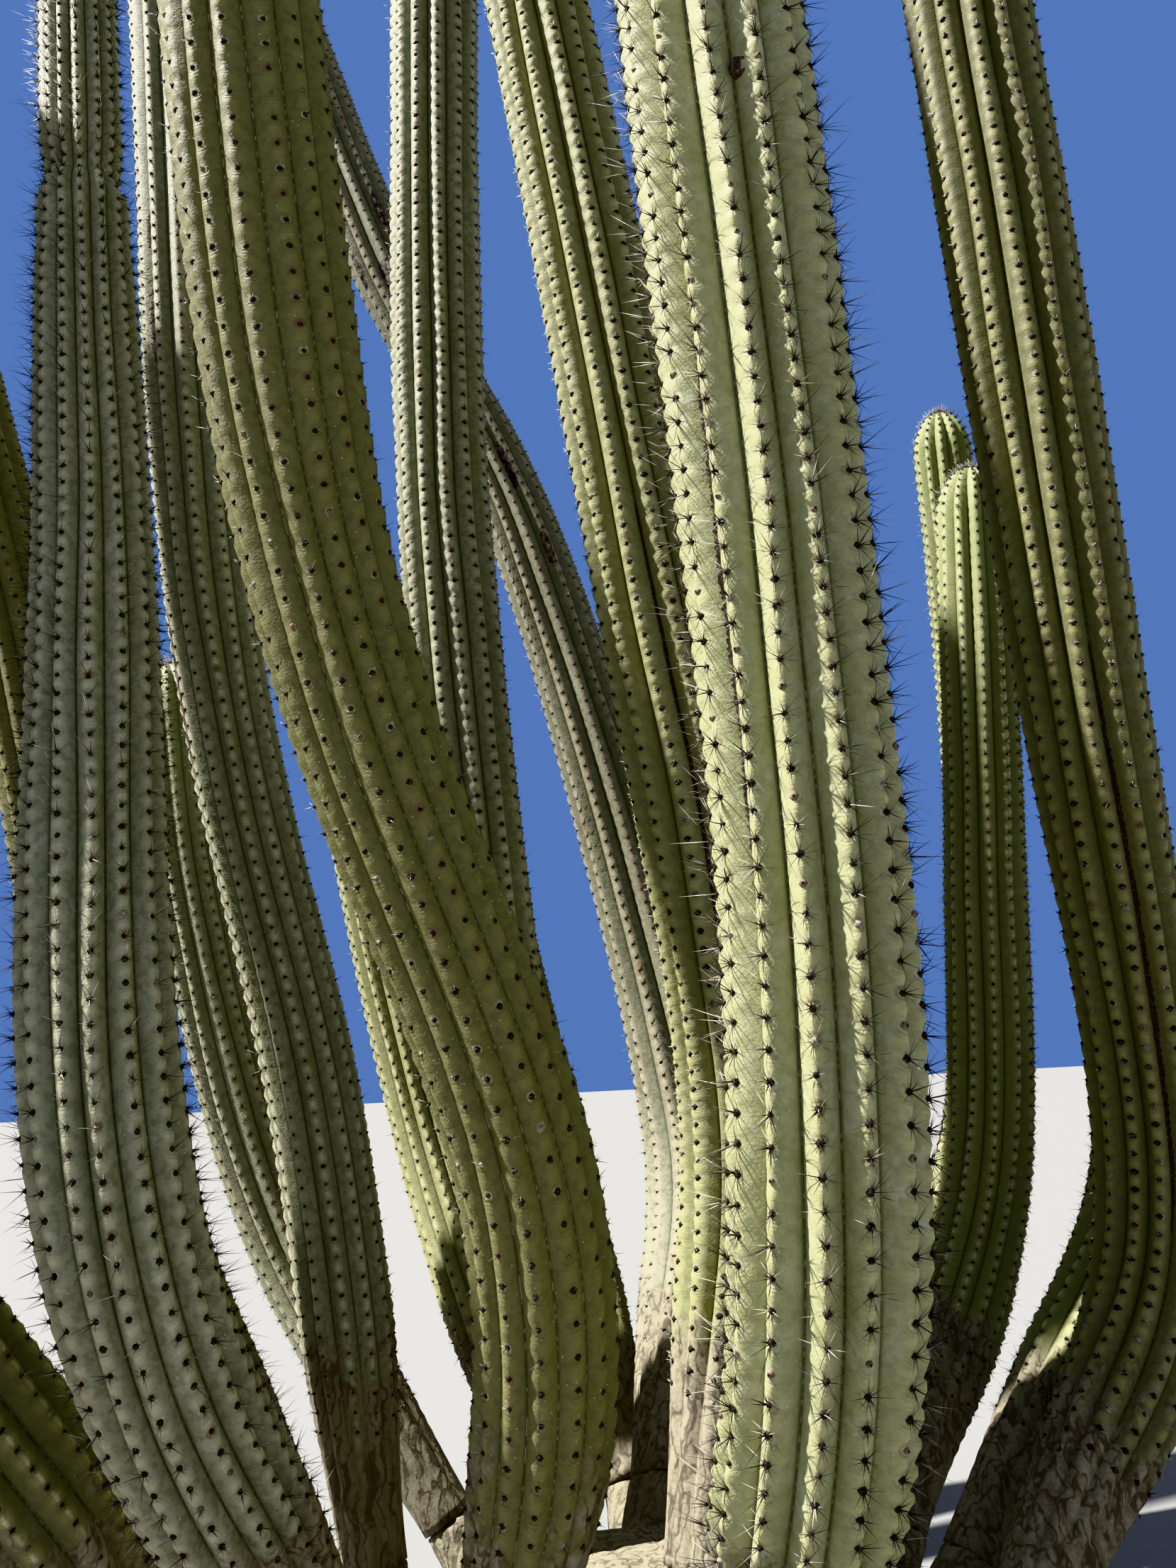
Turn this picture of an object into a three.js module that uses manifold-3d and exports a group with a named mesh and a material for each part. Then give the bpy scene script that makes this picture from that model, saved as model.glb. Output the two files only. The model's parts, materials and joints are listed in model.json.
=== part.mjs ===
// An organ pipe cactus: one low woody trunk, and the ribbed stems that rise from it.
// Millimetres, +Z up. The origin is on the ground, in the middle of the trunk's flat underside.
// The front is -Y: seen from there, +X is to the right.

import * as THREE from "three";
import { mergeVertices } from "three/addons/utils/BufferGeometryUtils.js";
import Module from "manifold-3d";

const wasm = await Module();
wasm.setup();

// Trunk: the short woody crown that carries every stem.
const trunkHeight = 310;
const trunkRadius = 265;
const flareRadius = 335; // at the ground
const rootLobes = 7;
const lobeDepth = 0.07; // share of the radius
const trunkSides = 28;

// Limbs: the bare woody necks that join the trunk to each stem's foot.
const limbStart = 0.45; // share of the foot's distance from the trunk's middle
const limbStartHeight = 130;
const limbReach = 150; // how far the limb runs straight before it meets the foot
const limbSwell = 1.3; // thickness inside the trunk, as a share of the foot's
const limbSides = 12;

// Stems.
const seatGap = 0.3; // between a limb's end and the stem that it carries
const footShare = 0.66; // thickness at the foot, as a share of the stem's own
const footLength = 320; // over which a stem widens from its foot
const grooveShare = 0.82; // radius in a groove, as a share of the radius on a rib
const footGroove = 0.94; // the same at the foot, where the ribs fade into bark
const girthFrom = 500; // between these two distances from the foot
const girthTo = 2000; // a stem changes from its low thickness to its high one
const domeShare = 0.8; // length of the rounded tip, as a share of the thickness
const footRings = [0, 70, 160, 300, 480];
const shaftRings = 5;
const domeRings = [0.4, 0.72, 0.92];

// A waist is where one year's growth stopped: the stem goes on thinner above it.
const waistShoulder = 190; // length over which the stem narrows below a waist

// Each stem by its ribs, the direction of one of them from +X in degrees, its thickness low
// and high, and the line that its middle follows: its foot, a point low down, one at half
// height and its tip. The crossing stem has one more point, where it bends.
const stems = [
  { name: "stem_far_left", ribs: 12, turn: -60, low: 145, high: 130,
    path: [[-380, 20, 250], [-630, 40, 750], [-800, 0, 1500], [-1160, -60, 2800]] },
  { name: "stem_outer_left", ribs: 13, turn: -60, low: 180, high: 190,
    path: [[-520, -120, 250], [-800, -440, 950], [-857, -404, 1900], [-920, -340, 2450]] },
  { name: "stem_left", ribs: 14, turn: -71, low: 158, high: 120, waist: { at: 1900, share: 0.88 },
    path: [[-320, -150, 250], [-470, -405, 760], [-565, -330, 1560], [-710, -180, 2750]] },
  { name: "stem_left_behind", ribs: 12, turn: -80, low: 133, high: 146,
    path: [[-340, 170, 250], [-425, 190, 850], [-595, 140, 1750], [-725, 140, 3600]] },
  { name: "stem_left_short", ribs: 12, turn: -75, low: 120, high: 110,
    path: [[-260, 320, 250], [-520, 380, 650], [-660, 360, 1150], [-720, 340, 1600]] },
  { name: "stem_front_left", ribs: 14, turn: -64, low: 142, high: 180,
    path: [[-140, -240, 250], [-75, -380, 750], [-292, -470, 1550], [-415, -610, 3150]] },
  { name: "stem_tallest", ribs: 12, turn: -79, low: 145, high: 149,
    path: [[-100, 60, 320], [-141, 143, 850], [-204, 80, 1950], [-156, 60, 4000]] },
  { name: "stem_crossing", ribs: 13, turn: -90, low: 190, high: 142,
    path: [[70, 270, 300], [155, 600, 800], [-93, 590, 1900], [-374, 570, 2550],
      [-650, 550, 3400]] },
  { name: "stem_middle", ribs: 13, turn: -85, low: 190, high: 153,
    path: [[100, -80, 320], [187, 0, 850], [65, -137, 1800], [-183, -200, 3700]] },
  { name: "stem_front", ribs: 13, turn: -104, low: 168, high: 187,
    path: [[110, -340, 250], [180, -560, 750], [182, -580, 1500], [98, -640, 3500]] },
  { name: "stem_right_front", ribs: 13, turn: -108, low: 154, high: 180,
    path: [[460, -60, 250], [720, 60, 650], [665, -80, 1450], [572, -230, 3300]] },
  { name: "stem_young_tall", ribs: 12, turn: -110, low: 130, high: 115,
    path: [[270, 360, 250], [660, 620, 700], [760, 660, 1400], [760, 600, 2150]] },
  { name: "stem_young_short", ribs: 12, turn: -100, low: 140, high: 120,
    path: [[370, 230, 250], [600, 400, 650], [665, 380, 1200], [720, 360, 1900]] },
  { name: "stem_back_left", ribs: 13, turn: 20, low: 130, high: 130,
    path: [[-120, 370, 250], [-320, 600, 800], [-510, 660, 1700], [-800, 800, 3300]] },
  { name: "stem_back_middle", ribs: 12, turn: 50, low: 135, high: 130,
    path: [[10, 430, 250], [-130, 820, 850], [-270, 900, 1700], [-290, 920, 3100]] },
  { name: "stem_back", ribs: 13, turn: 40, low: 140, high: 130,
    path: [[150, 430, 250], [395, 720, 750], [420, 760, 1600], [400, 840, 3000]] },
  { name: "stem_right_behind", ribs: 12, turn: 5, low: 130, high: 130,
    path: [[440, 90, 250], [800, 280, 700], [860, 330, 1400], [840, 360, 2700]] },
];

const barkColour = "#77705d";
const skinColour = "#7d8560";
const youngSkinColour = "#8d9a62";

const mix = THREE.MathUtils.lerp;
const ease = THREE.MathUtils.smoothstep;

// A mesh with shared corners and no empty triangles.
function closed(geometry) {
  geometry.deleteAttribute("normal");
  geometry.deleteAttribute("uv");
  const merged = mergeVertices(geometry, 1e-3);
  const corners = merged.index.array;
  const kept = [];
  for (let i = 0; i < corners.length; i += 3) {
    const [a, b, c] = corners.slice(i, i + 3);
    if (a !== b && b !== c && c !== a) kept.push(a, b, c);
  }
  merged.setIndex(kept);
  return merged;
}

// A body of revolution about +Z from its profile [[radius, height], ...], bottom to top.
// Its first column of corners is at +X.
function turned(profile, sides) {
  const points = profile.map(([radius, height]) => new THREE.Vector2(radius, height));
  const geometry = new THREE.LatheGeometry(points, sides);
  geometry.rotateX(Math.PI / 2);
  geometry.rotateZ(Math.PI / 2);
  return closed(geometry);
}

function reshape(geometry, move) {
  const position = geometry.attributes.position;
  const point = new THREE.Vector3();
  for (let i = 0; i < position.count; i += 1) {
    point.fromBufferAttribute(position, i);
    move(point);
    position.setXYZ(i, point.x, point.y, point.z);
  }
  return geometry;
}

// Lays a body that stands on +Z along a curve, so that its height runs along the curve.
function bend(geometry, curve) {
  const length = curve.getLength();
  return reshape(geometry, (point) => {
    const share = THREE.MathUtils.clamp(point.z / length, 0, 1);
    const ahead = curve.getTangentAt(share);
    const across = new THREE.Vector3(1, 0, 0).addScaledVector(ahead, -ahead.x).normalize();
    const along = new THREE.Vector3().crossVectors(ahead, across);
    const middle = curve.getPointAt(share);
    middle.addScaledVector(across, point.x).addScaledVector(along, point.y);
    point.copy(middle);
  });
}

function lineOf(stem) {
  const points = stem.path.map((p) => new THREE.Vector3(...p));
  const line = new THREE.CatmullRomCurve3(points, false, "catmullrom", 0.5);
  line.arcLengthDivisions = 400;
  return line;
}

// Radius on the ribs at a distance from the foot.
function stemRadius(stem, distance, length) {
  const own = mix(stem.low, stem.high, ease(distance, girthFrom, girthTo)) / 2;
  let share = mix(footShare, 1, ease(distance, 0, footLength));
  if (stem.waist) {
    const shoulder = ease(distance, stem.waist.at - waistShoulder, stem.waist.at);
    share *= mix(1, stem.waist.share, shoulder);
  }
  const dome = domeShare * stem.high;
  const up = Math.max(0, (distance - (length - dome)) / dome);
  return own * share * Math.sqrt(1 - Math.min(up, 1) ** 2);
}

function stemSolid(stem) {
  const line = lineOf(stem);
  const length = line.getLength();
  const dome = domeShare * stem.high;
  const distances = [...footRings];
  const last = footRings[footRings.length - 1];
  for (let i = 1; i <= shaftRings; i += 1) {
    distances.push(mix(last, length - dome, i / shaftRings));
  }
  if (stem.waist) distances.push(stem.waist.at - waistShoulder, stem.waist.at);
  distances.sort((a, b) => a - b);
  distances.push(...domeRings.map((share) => length - dome + share * dome));

  const profile = distances.map((d) => [stemRadius(stem, d, length), d]);
  const sides = 2 * stem.ribs;
  const solid = turned([[0, 0], ...profile, [0, length]], sides);
  reshape(solid, (point) => {
    const turn = Math.atan2(point.y, point.x) / (2 * Math.PI);
    const isGroove = Math.abs(Math.round(turn * sides)) % 2 === 1;
    const groove = mix(footGroove, grooveShare, ease(point.z, 0, footLength));
    const share = isGroove ? groove : 1;
    point.x *= share;
    point.y *= share;
  });
  solid.rotateZ(THREE.MathUtils.degToRad(stem.turn));
  bend(solid, line);
  const ahead = line.getTangentAt(0);
  solid.translate(ahead.x * seatGap, ahead.y * seatGap, ahead.z * seatGap);
  return solid;
}

// The bare neck from inside the trunk to a stem's foot.
function limbSolid(stem) {
  const foot = new THREE.Vector3(...stem.path[0]);
  const ahead = lineOf(stem).getTangentAt(0);
  const start = new THREE.Vector3(foot.x * limbStart, foot.y * limbStart, limbStartHeight);
  const before = foot.clone().addScaledVector(ahead, -limbReach);
  const line = new THREE.QuadraticBezierCurve3(start, before, foot);
  const length = line.getLength();
  const radius = (stem.low / 2) * footShare;
  const profile = [0, 0.3, 0.55, 0.8, 1].map((share) => [
    radius * mix(limbSwell, 1, share), share * length,
  ]);
  return bend(turned([[0, 0], ...profile, [0, length]], limbSides), line);
}

// The trunk's core, with roots that flare at the ground and a lumpy top.
function coreSolid() {
  const profile = [
    [0, 0],
    [flareRadius, 0],
    [mix(flareRadius, trunkRadius, 0.6), 0.14 * trunkHeight],
    [trunkRadius, 0.38 * trunkHeight],
    [0.95 * trunkRadius, 0.64 * trunkHeight],
    [0.76 * trunkRadius, 0.86 * trunkHeight],
    [0.4 * trunkRadius, 0.97 * trunkHeight],
    [0, trunkHeight],
  ];
  return reshape(turned(profile, trunkSides), (point) => {
    const angle = Math.atan2(point.y, point.x);
    const lift = 1 - point.z / trunkHeight;
    const lobe = 1 + lobeDepth * lift * Math.cos(rootLobes * angle + 0.6);
    const lean = 1 + 0.08 * Math.cos(angle - 0.35); // wider to the right
    point.x *= lobe * lean;
    point.y *= lobe * lean;
  });
}

function toManifold(geometry) {
  return new wasm.Manifold(new wasm.Mesh({
    numProp: 3,
    vertProperties: new Float32Array(geometry.attributes.position.array),
    triVerts: new Uint32Array(geometry.index.array),
  }));
}

function fromManifold(solid) {
  const { numProp, vertProperties, triVerts } = solid.getMesh();
  const positions = new Float32Array((vertProperties.length / numProp) * 3);
  for (let i = 0; i < positions.length / 3; i += 1) {
    for (let k = 0; k < 3; k += 1) positions[i * 3 + k] = vertProperties[i * numProp + k];
  }
  const geometry = new THREE.BufferGeometry();
  geometry.setAttribute("position", new THREE.BufferAttribute(positions, 3));
  geometry.setIndex([...triVerts]);
  return geometry;
}

function trunkSolid() {
  let solid = toManifold(coreSolid());
  for (const stem of stems) solid = solid.add(toManifold(limbSolid(stem)));
  return fromManifold(solid);
}

function named(name, geometry, colour) {
  const material = new THREE.MeshStandardMaterial({
    color: colour, roughness: 0.8, metalness: 0, flatShading: true,
  });
  const mesh = new THREE.Mesh(geometry, material);
  mesh.name = name;
  return mesh;
}

const cactus = new THREE.Group();
cactus.add(named("trunk", trunkSolid(), barkColour));
for (const stem of stems) {
  const colour = stem.name.includes("young") ? youngSkinColour : skinColour;
  cactus.add(named(stem.name, stemSolid(stem), colour));
}

export default cactus;
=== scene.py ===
import json
import math

import bpy
import numpy as np
from mathutils import Matrix, Vector, noise

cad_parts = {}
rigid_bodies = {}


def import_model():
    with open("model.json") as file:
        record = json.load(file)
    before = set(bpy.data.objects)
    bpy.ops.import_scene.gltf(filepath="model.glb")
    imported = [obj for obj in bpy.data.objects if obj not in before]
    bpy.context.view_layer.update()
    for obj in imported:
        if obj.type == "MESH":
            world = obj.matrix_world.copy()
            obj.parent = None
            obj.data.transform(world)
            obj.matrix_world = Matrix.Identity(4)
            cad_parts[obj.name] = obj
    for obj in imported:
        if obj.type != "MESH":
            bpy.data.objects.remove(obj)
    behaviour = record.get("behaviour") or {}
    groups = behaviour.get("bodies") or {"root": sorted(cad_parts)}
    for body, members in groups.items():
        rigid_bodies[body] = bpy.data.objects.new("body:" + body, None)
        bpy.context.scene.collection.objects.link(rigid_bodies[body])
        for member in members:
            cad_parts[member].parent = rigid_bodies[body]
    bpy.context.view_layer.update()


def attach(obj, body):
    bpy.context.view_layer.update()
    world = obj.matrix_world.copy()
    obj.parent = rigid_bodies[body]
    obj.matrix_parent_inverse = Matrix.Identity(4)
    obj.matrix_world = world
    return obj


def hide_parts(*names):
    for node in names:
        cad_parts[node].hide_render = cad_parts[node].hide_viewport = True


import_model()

print("organ pipe cactus: frame loaded")


# where the picture is taken from

cameraSetup = {
    "place": (0.0, -1.6, 0.90),
    "pitch": 13.0,  # degrees above level
    "roll": 3.0,  # degrees, the picture leans to the left
    "focalLength": 27.05,  # mm
    "frameSize": 36.0,  # mm
    "farthest": 200.0,  # metres
}

lightSetup = {
    "sunFrom": (-0.558, -0.098, 0.824),
    "sunStrength": 16.2,
    "sunWidth": 1.0,  # degrees, how soft its shadows are
    "sunColour": (1.0, 0.965, 0.90),
    "fillColour": (0.71, 0.79, 1.0),
    "fillStrength": 0.56,
    "backdropColour": (0.125, 0.225, 0.54),
    "floorColour": (0.185, 0.185, 0.185),
    "floorSize": 60.0,
}


def setCamera():
    data = bpy.data.cameras.new("camera")
    data.sensor_fit = "AUTO"
    data.sensor_width = cameraSetup["frameSize"]
    data.lens = cameraSetup["focalLength"]
    data.clip_end = cameraSetup["farthest"]
    camera = bpy.data.objects.new("camera", data)
    bpy.context.scene.collection.objects.link(camera)
    tilt = Matrix.Rotation(math.radians(90 + cameraSetup["pitch"]), 4, "X")
    lean = Matrix.Rotation(-math.radians(cameraSetup["roll"]), 4, "Z")
    camera.matrix_world = Matrix.Translation(cameraSetup["place"]) @ tilt @ lean
    bpy.context.scene.camera = camera


def setLights():
    sun = bpy.data.lights.new("sun", "SUN")
    sun.energy = lightSetup["sunStrength"]
    sun.angle = math.radians(lightSetup["sunWidth"])
    sun.color = lightSetup["sunColour"]
    lamp = bpy.data.objects.new("sun", sun)
    lamp.rotation_euler = Vector(lightSetup["sunFrom"]).to_track_quat("Z", "Y").to_euler()
    bpy.context.scene.collection.objects.link(lamp)
    world = bpy.data.worlds.new("studio")
    world.use_nodes = True
    tree = world.node_tree
    fill = tree.nodes["Background"]
    fill.inputs["Color"].default_value = (*lightSetup["fillColour"], 1.0)
    fill.inputs["Strength"].default_value = lightSetup["fillStrength"]
    # the camera sees a plain backdrop that is brighter than the fill light
    backdrop = tree.nodes.new("ShaderNodeBackground")
    backdrop.inputs["Color"].default_value = (*lightSetup["backdropColour"], 1.0)
    ray = tree.nodes.new("ShaderNodeLightPath")
    choice = tree.nodes.new("ShaderNodeMixShader")
    tree.links.new(ray.outputs["Is Camera Ray"], choice.inputs[0])
    tree.links.new(fill.outputs[0], choice.inputs[1])
    tree.links.new(backdrop.outputs[0], choice.inputs[2])
    tree.links.new(choice.outputs[0], tree.nodes["World Output"].inputs["Surface"])
    bpy.context.scene.world = world


setCamera()
setLights()
print("camera and lights set")


# the plant's own shape, as in the part's source, in metres

# round: 0 for ribs with flat flanks, 1 for ribs that bulge like a roll; cut: how much deeper
# the grooves are than usual; felt: size of the cushions, as a share of the usual, drawn large so
# that the dark felt also stands for painted shade around them; spacing: from one cushion to the
# next; swell: height of the swellings between them; wounds: rib and place of the middle, half
# width in ribs and half length in metres
usualStem = {
    "round": 0.60, "cut": 0.0, "felt": 1.0, "spacing": 0.026, "swell": 0.0036,
    "spines": "short", "detail": "far", "wounds": [], "galls": [],
}

# low and high: thickness from crest to crest below and above; waist: where it is, and the share
# of the thickness above it
stemShapes = {
    "stem_far_left": {
        "ribs": 12, "turn": -60, "low": 0.145, "high": 0.130,
        "path": [(-0.380, 0.020, 0.250), (-0.630, 0.040, 0.750),
                 (-0.800, 0.000, 1.500), (-1.160, -0.060, 2.800)],
        "skin": "olive", "round": 0.50, "spacing": 0.025, "swell": 0.0035,
    },
    "stem_outer_left": {
        "ribs": 13, "turn": -60, "low": 0.180, "high": 0.190,
        "path": [(-0.520, -0.120, 0.250), (-0.800, -0.440, 0.950),
                 (-0.857, -0.404, 1.900), (-0.920, -0.340, 2.450)],
        "skin": "dusty", "spines": "plain",
    },
    "stem_left": {
        "ribs": 14, "turn": -71, "low": 0.158, "high": 0.120, "waist": (1.90, 0.88),
        "path": [(-0.320, -0.150, 0.250), (-0.470, -0.405, 0.760),
                 (-0.565, -0.330, 1.560), (-0.710, -0.180, 2.750)],
        "skin": "grey", "round": 0.40, "cut": 0.02, "spacing": 0.0225, "swell": 0.0034,
        "spines": "fine", "detail": "near",
    },
    "stem_left_behind": {
        "ribs": 12, "turn": -80, "low": 0.133, "high": 0.146,
        "path": [(-0.340, 0.170, 0.250), (-0.425, 0.190, 0.850),
                 (-0.595, 0.140, 1.750), (-0.725, 0.140, 3.600)],
        "skin": "grey", "round": 0.50, "spacing": 0.025, "swell": 0.0030,
        "wounds": [{"rib": -1.4, "at": 1.86, "wide": 0.24, "long": 0.15},
                   {"rib": -1.5, "at": 2.05, "wide": 0.18, "long": 0.06},
                   {"rib": -2.7, "at": 1.26, "wide": 0.3, "long": 0.21}],
    },
    "stem_left_short": {
        "ribs": 12, "turn": -75, "low": 0.120, "high": 0.110,
        "path": [(-0.260, 0.320, 0.250), (-0.520, 0.380, 0.650),
                 (-0.660, 0.360, 1.150), (-0.720, 0.340, 1.600)],
        "skin": "grey", "spacing": 0.023, "swell": 0.0030, "spines": "young",
    },
    "stem_front_left": {
        "ribs": 14, "turn": -64, "low": 0.142, "high": 0.180,
        "path": [(-0.140, -0.240, 0.250), (-0.075, -0.380, 0.750),
                 (-0.292, -0.470, 1.550), (-0.415, -0.610, 3.150)],
        "skin": "olive", "round": 0.45, "cut": -0.035, "spacing": 0.0285, "swell": 0.0032,
        "detail": "near", "felt": 1.15,
    },
    "stem_tallest": {
        "ribs": 12, "turn": -79, "low": 0.145, "high": 0.149,
        "path": [(-0.100, 0.060, 0.320), (-0.141, 0.143, 0.850),
                 (-0.204, 0.080, 1.950), (-0.156, 0.060, 4.000)],
        "skin": "grey", "round": 0.65, "cut": 0.05, "spacing": 0.023, "swell": 0.0046,
        "detail": "near", "felt": 1.40,
    },
    "stem_crossing": {
        "ribs": 13, "turn": -90, "low": 0.190, "high": 0.142,
        "path": [(0.070, 0.270, 0.300), (0.155, 0.600, 0.800), (-0.093, 0.590, 1.900),
                 (-0.374, 0.570, 2.550), (-0.650, 0.550, 3.400)],
        "skin": "scarred", "spacing": 0.025,
        "wounds": [{"rib": -2.1, "at": 2.43, "wide": 0.55, "long": 0.07},
                   {"rib": -0.4, "at": 2.385, "wide": 0.4, "long": 0.055},
                   {"rib": 1.1, "at": 2.53, "wide": 0.6, "long": 0.08},
                   {"rib": 0.6, "at": 1.9, "wide": 0.38, "long": 0.1},
                   {"rib": 0.8, "at": 1.71, "wide": 0.35, "long": 0.06}],
    },
    "stem_middle": {
        "ribs": 13, "turn": -85, "low": 0.190, "high": 0.153,
        "path": [(0.100, -0.080, 0.320), (0.187, 0.000, 0.850),
                 (0.065, -0.137, 1.800), (-0.183, -0.200, 3.700)],
        "skin": "green", "round": 0.65, "cut": 0.05, "spacing": 0.024, "swell": 0.0047,
        "spines": "stubs", "detail": "near", "felt": 1.40,
    },
    "stem_front": {
        "ribs": 13, "turn": -104, "low": 0.168, "high": 0.187,
        "path": [(0.110, -0.340, 0.250), (0.180, -0.560, 0.750),
                 (0.182, -0.580, 1.500), (0.098, -0.640, 3.500)],
        "skin": "pale", "round": 0.15, "cut": 0.065, "spacing": 0.024, "swell": 0.0034,
        "spines": "long", "detail": "nearest",
        "galls": [{"rib": 0.62, "at": 1.605, "radius": 0.0092}],
    },
    "stem_right_front": {
        "ribs": 13, "turn": -108, "low": 0.154, "high": 0.180,
        "path": [(0.460, -0.060, 0.250), (0.720, 0.060, 0.650),
                 (0.665, -0.080, 1.450), (0.572, -0.230, 3.300)],
        "skin": "dusty", "round": 0.80, "cut": 0.06, "swell": 0.0042, "spines": "stubs",
        "detail": "near", "felt": 1.40,
    },
    "stem_young_tall": {
        "ribs": 12, "turn": -110, "low": 0.130, "high": 0.115,
        "path": [(0.270, 0.360, 0.250), (0.660, 0.620, 0.700),
                 (0.760, 0.660, 1.400), (0.760, 0.600, 2.150)],
        "skin": "young", "round": 0.75, "cut": 0.04, "spacing": 0.022, "swell": 0.0050,
        "spines": "young",
    },
    "stem_young_short": {
        "ribs": 12, "turn": -100, "low": 0.140, "high": 0.120,
        "path": [(0.370, 0.230, 0.250), (0.600, 0.400, 0.650),
                 (0.665, 0.380, 1.200), (0.720, 0.360, 1.900)],
        "skin": "young", "round": 0.75, "cut": 0.04, "spacing": 0.022, "swell": 0.0050,
        "spines": "young",
    },
    "stem_back_left": {
        "ribs": 13, "turn": 20, "low": 0.130, "high": 0.130,
        "path": [(-0.120, 0.370, 0.250), (-0.320, 0.600, 0.800),
                 (-0.510, 0.660, 1.700), (-0.800, 0.800, 3.300)],
        "skin": "green", "round": 0.50,
    },
    "stem_back_middle": {
        "ribs": 12, "turn": 50, "low": 0.135, "high": 0.130,
        "path": [(0.010, 0.430, 0.250), (-0.130, 0.820, 0.850),
                 (-0.270, 0.900, 1.700), (-0.290, 0.920, 3.100)],
        "skin": "olive",
    },
    "stem_back": {
        "ribs": 13, "turn": 40, "low": 0.140, "high": 0.130,
        "path": [(0.150, 0.430, 0.250), (0.395, 0.720, 0.750),
                 (0.420, 0.760, 1.600), (0.400, 0.840, 3.000)],
        "skin": "dusty", "spines": "plain",
    },
    "stem_right_behind": {
        "ribs": 12, "turn": 5, "low": 0.130, "high": 0.130,
        "path": [(0.440, 0.090, 0.250), (0.800, 0.280, 0.700),
                 (0.860, 0.330, 1.400), (0.840, 0.360, 2.700)],
        "skin": "young", "round": 0.70, "spines": "young",
    },
}

stems = {name: {**usualStem, **own} for name, own in stemShapes.items()}

stemForm = {
    "seatGap": 0.0003,  # between a limb's end and the stem on it
    "footShare": 0.66,  # thickness at the foot, as a share of what it is above
    "footLength": 0.32,
    "grooveShare": 0.82,  # radius in the grooves, as a share of that on the crests
    "footGroove": 0.94,
    "girth": (0.5, 2.0),  # the thickness goes from low to high between these distances
    "domeShare": 0.8,
    "crestRound": 0.20,  # width of the rounded crest, as a share of the rib
    "swellReach": 0.76,  # how far a swelling reaches down the flanks
    "swellSkew": 1.25,  # above 1 the swellings hang closer under the next cushion
    "swellSink": 0.50,  # how far the crest sinks between swellings, as a share of them
    "swellUneven": 0.35,
    "swellWave": 0.11,  # metres over which the swellings change
    "phase": 0.42,  # how far the cushions of one rib stray from those of the next
    "ribWander": 3.0,  # degrees that a rib strays to either side
    "ribWave": 0.24,  # metres
    "girthWander": 0.022,  # share of the thickness
    "girthWave": 0.30,  # metres
    "relief": (0.02, 0.30),  # the foot is even, and above it the relief grows between these
    "tipRelief": (0.1, 0.7),  # near the tip the swellings fade between these shares of the girth
    "bark": (0.10, 0.42),  # the foot's bark gives way to skin between these distances
    "freshTip": (0.03, 0.45),  # the tip's fresh green fades between these distances from it
    "lowestFelt": 0.16,  # no cushions below this distance
    "highestFelt": 0.12,  # nor where the tip is narrower than this share of the girth
    "woundCore": 0.3,  # share of a wound that is cork all over
    "woundRelief": 0.0016,
}

# a growth waist, with a swollen shoulder below it
waistForm = {
    "shoulder": 0.19,  # the stem thins over this distance
    "pinch": 0.16,  # how deep the waist cuts in, as a share of the radius
    "below": 0.016,
    "above": 0.045,
    "collar": 0.06,
    "collarDrop": 0.045,
    "collarWidth": 0.035,
}

# share of the radius and height over the skin, ring by ring from the edge to the middle
gallForm = {
    "lift": 0.007,  # how far the skin around it swells
    "spread": 1.5,
    "rings": [(0.92, -0.0100), (1.02, -0.0046), (1.00, -0.0012), (0.88, 0.0016), (0.72, 0.0018),
              (0.56, -0.0010), (0.38, -0.0020), (0.20, 0.0002)],
    "middle": 0.0006,
    "sides": 26,
    "uneven": 0.06,
    "rough": 0.0009,
}

# rows: rings of points for each swelling; across: points over one rib, from groove to groove
detailLevels = {
    "nearest": {"rows": 4, "across": (-1, -0.66, -0.38, -0.17, 0, 0.17, 0.38, 0.66),
                "feltSides": 6, "feltRings": 2},
    "near": {"rows": 3, "across": (-1, -0.60, -0.22, 0.22, 0.60), "feltSides": 6, "feltRings": 1},
    "far": {"rows": 2, "across": (-1, -0.42, 0, 0.42), "feltSides": 5, "feltRings": 1},
}


def splinePoint(points, share):
    last = len(points) - 1
    piece = min(int(share * last), last - 1)
    t = share * last - piece
    b, c = points[piece], points[piece + 1]
    a = points[piece - 1] if piece > 0 else 2 * b - c
    d = points[piece + 2] if piece + 2 <= last else 2 * c - b
    return 0.5 * (2 * b + (c - a) * t + (2 * a - 5 * b + 4 * c - d) * t ** 2
                  + (3 * b - 3 * c + d - a) * t ** 3)


def unit(vectors, least=0.0):
    # Directions of length one. With a least length, a zero vector stays zero.
    return vectors / (np.linalg.norm(vectors, axis=-1, keepdims=True) + least)


class Line:
    # A curve that is walked by distance, with the two directions across it.
    def __init__(self, pointAt, steps=500):
        shares = np.linspace(0, 1, steps + 1)
        self.points = np.array([pointAt(share) for share in shares])
        legs = np.linalg.norm(np.diff(self.points, axis=0), axis=1)
        self.distances = np.concatenate([[0], np.cumsum(legs)])
        self.length = self.distances[-1]

    def place(self, distance):
        return np.stack([np.interp(distance, self.distances, self.points[:, axis])
                         for axis in range(3)], 1)

    def at(self, distance):
        flat = np.clip(np.ravel(distance), 0, self.length)
        step = self.length / 400
        middle = self.place(flat)
        ahead = unit(self.place(np.clip(flat + step, 0, self.length))
                     - self.place(np.clip(flat - step, 0, self.length)))
        across = unit(np.array([[1.0, 0, 0]]) - ahead * ahead[:, :1])
        along = np.cross(ahead, across)
        shape = np.shape(distance) + (3,)
        return [value.reshape(shape) for value in (middle, ahead, across, along)]


def lineOf(stem):
    points = [np.array(point, float) for point in stem["path"]]
    return Line(lambda share: splinePoint(points, share))


def ease(value, low, high):
    share = np.clip((value - low) / (high - low), 0, 1)
    return share * share * (3 - 2 * share)


def mix(a, b, share):
    return a + (b - a) * share


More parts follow.
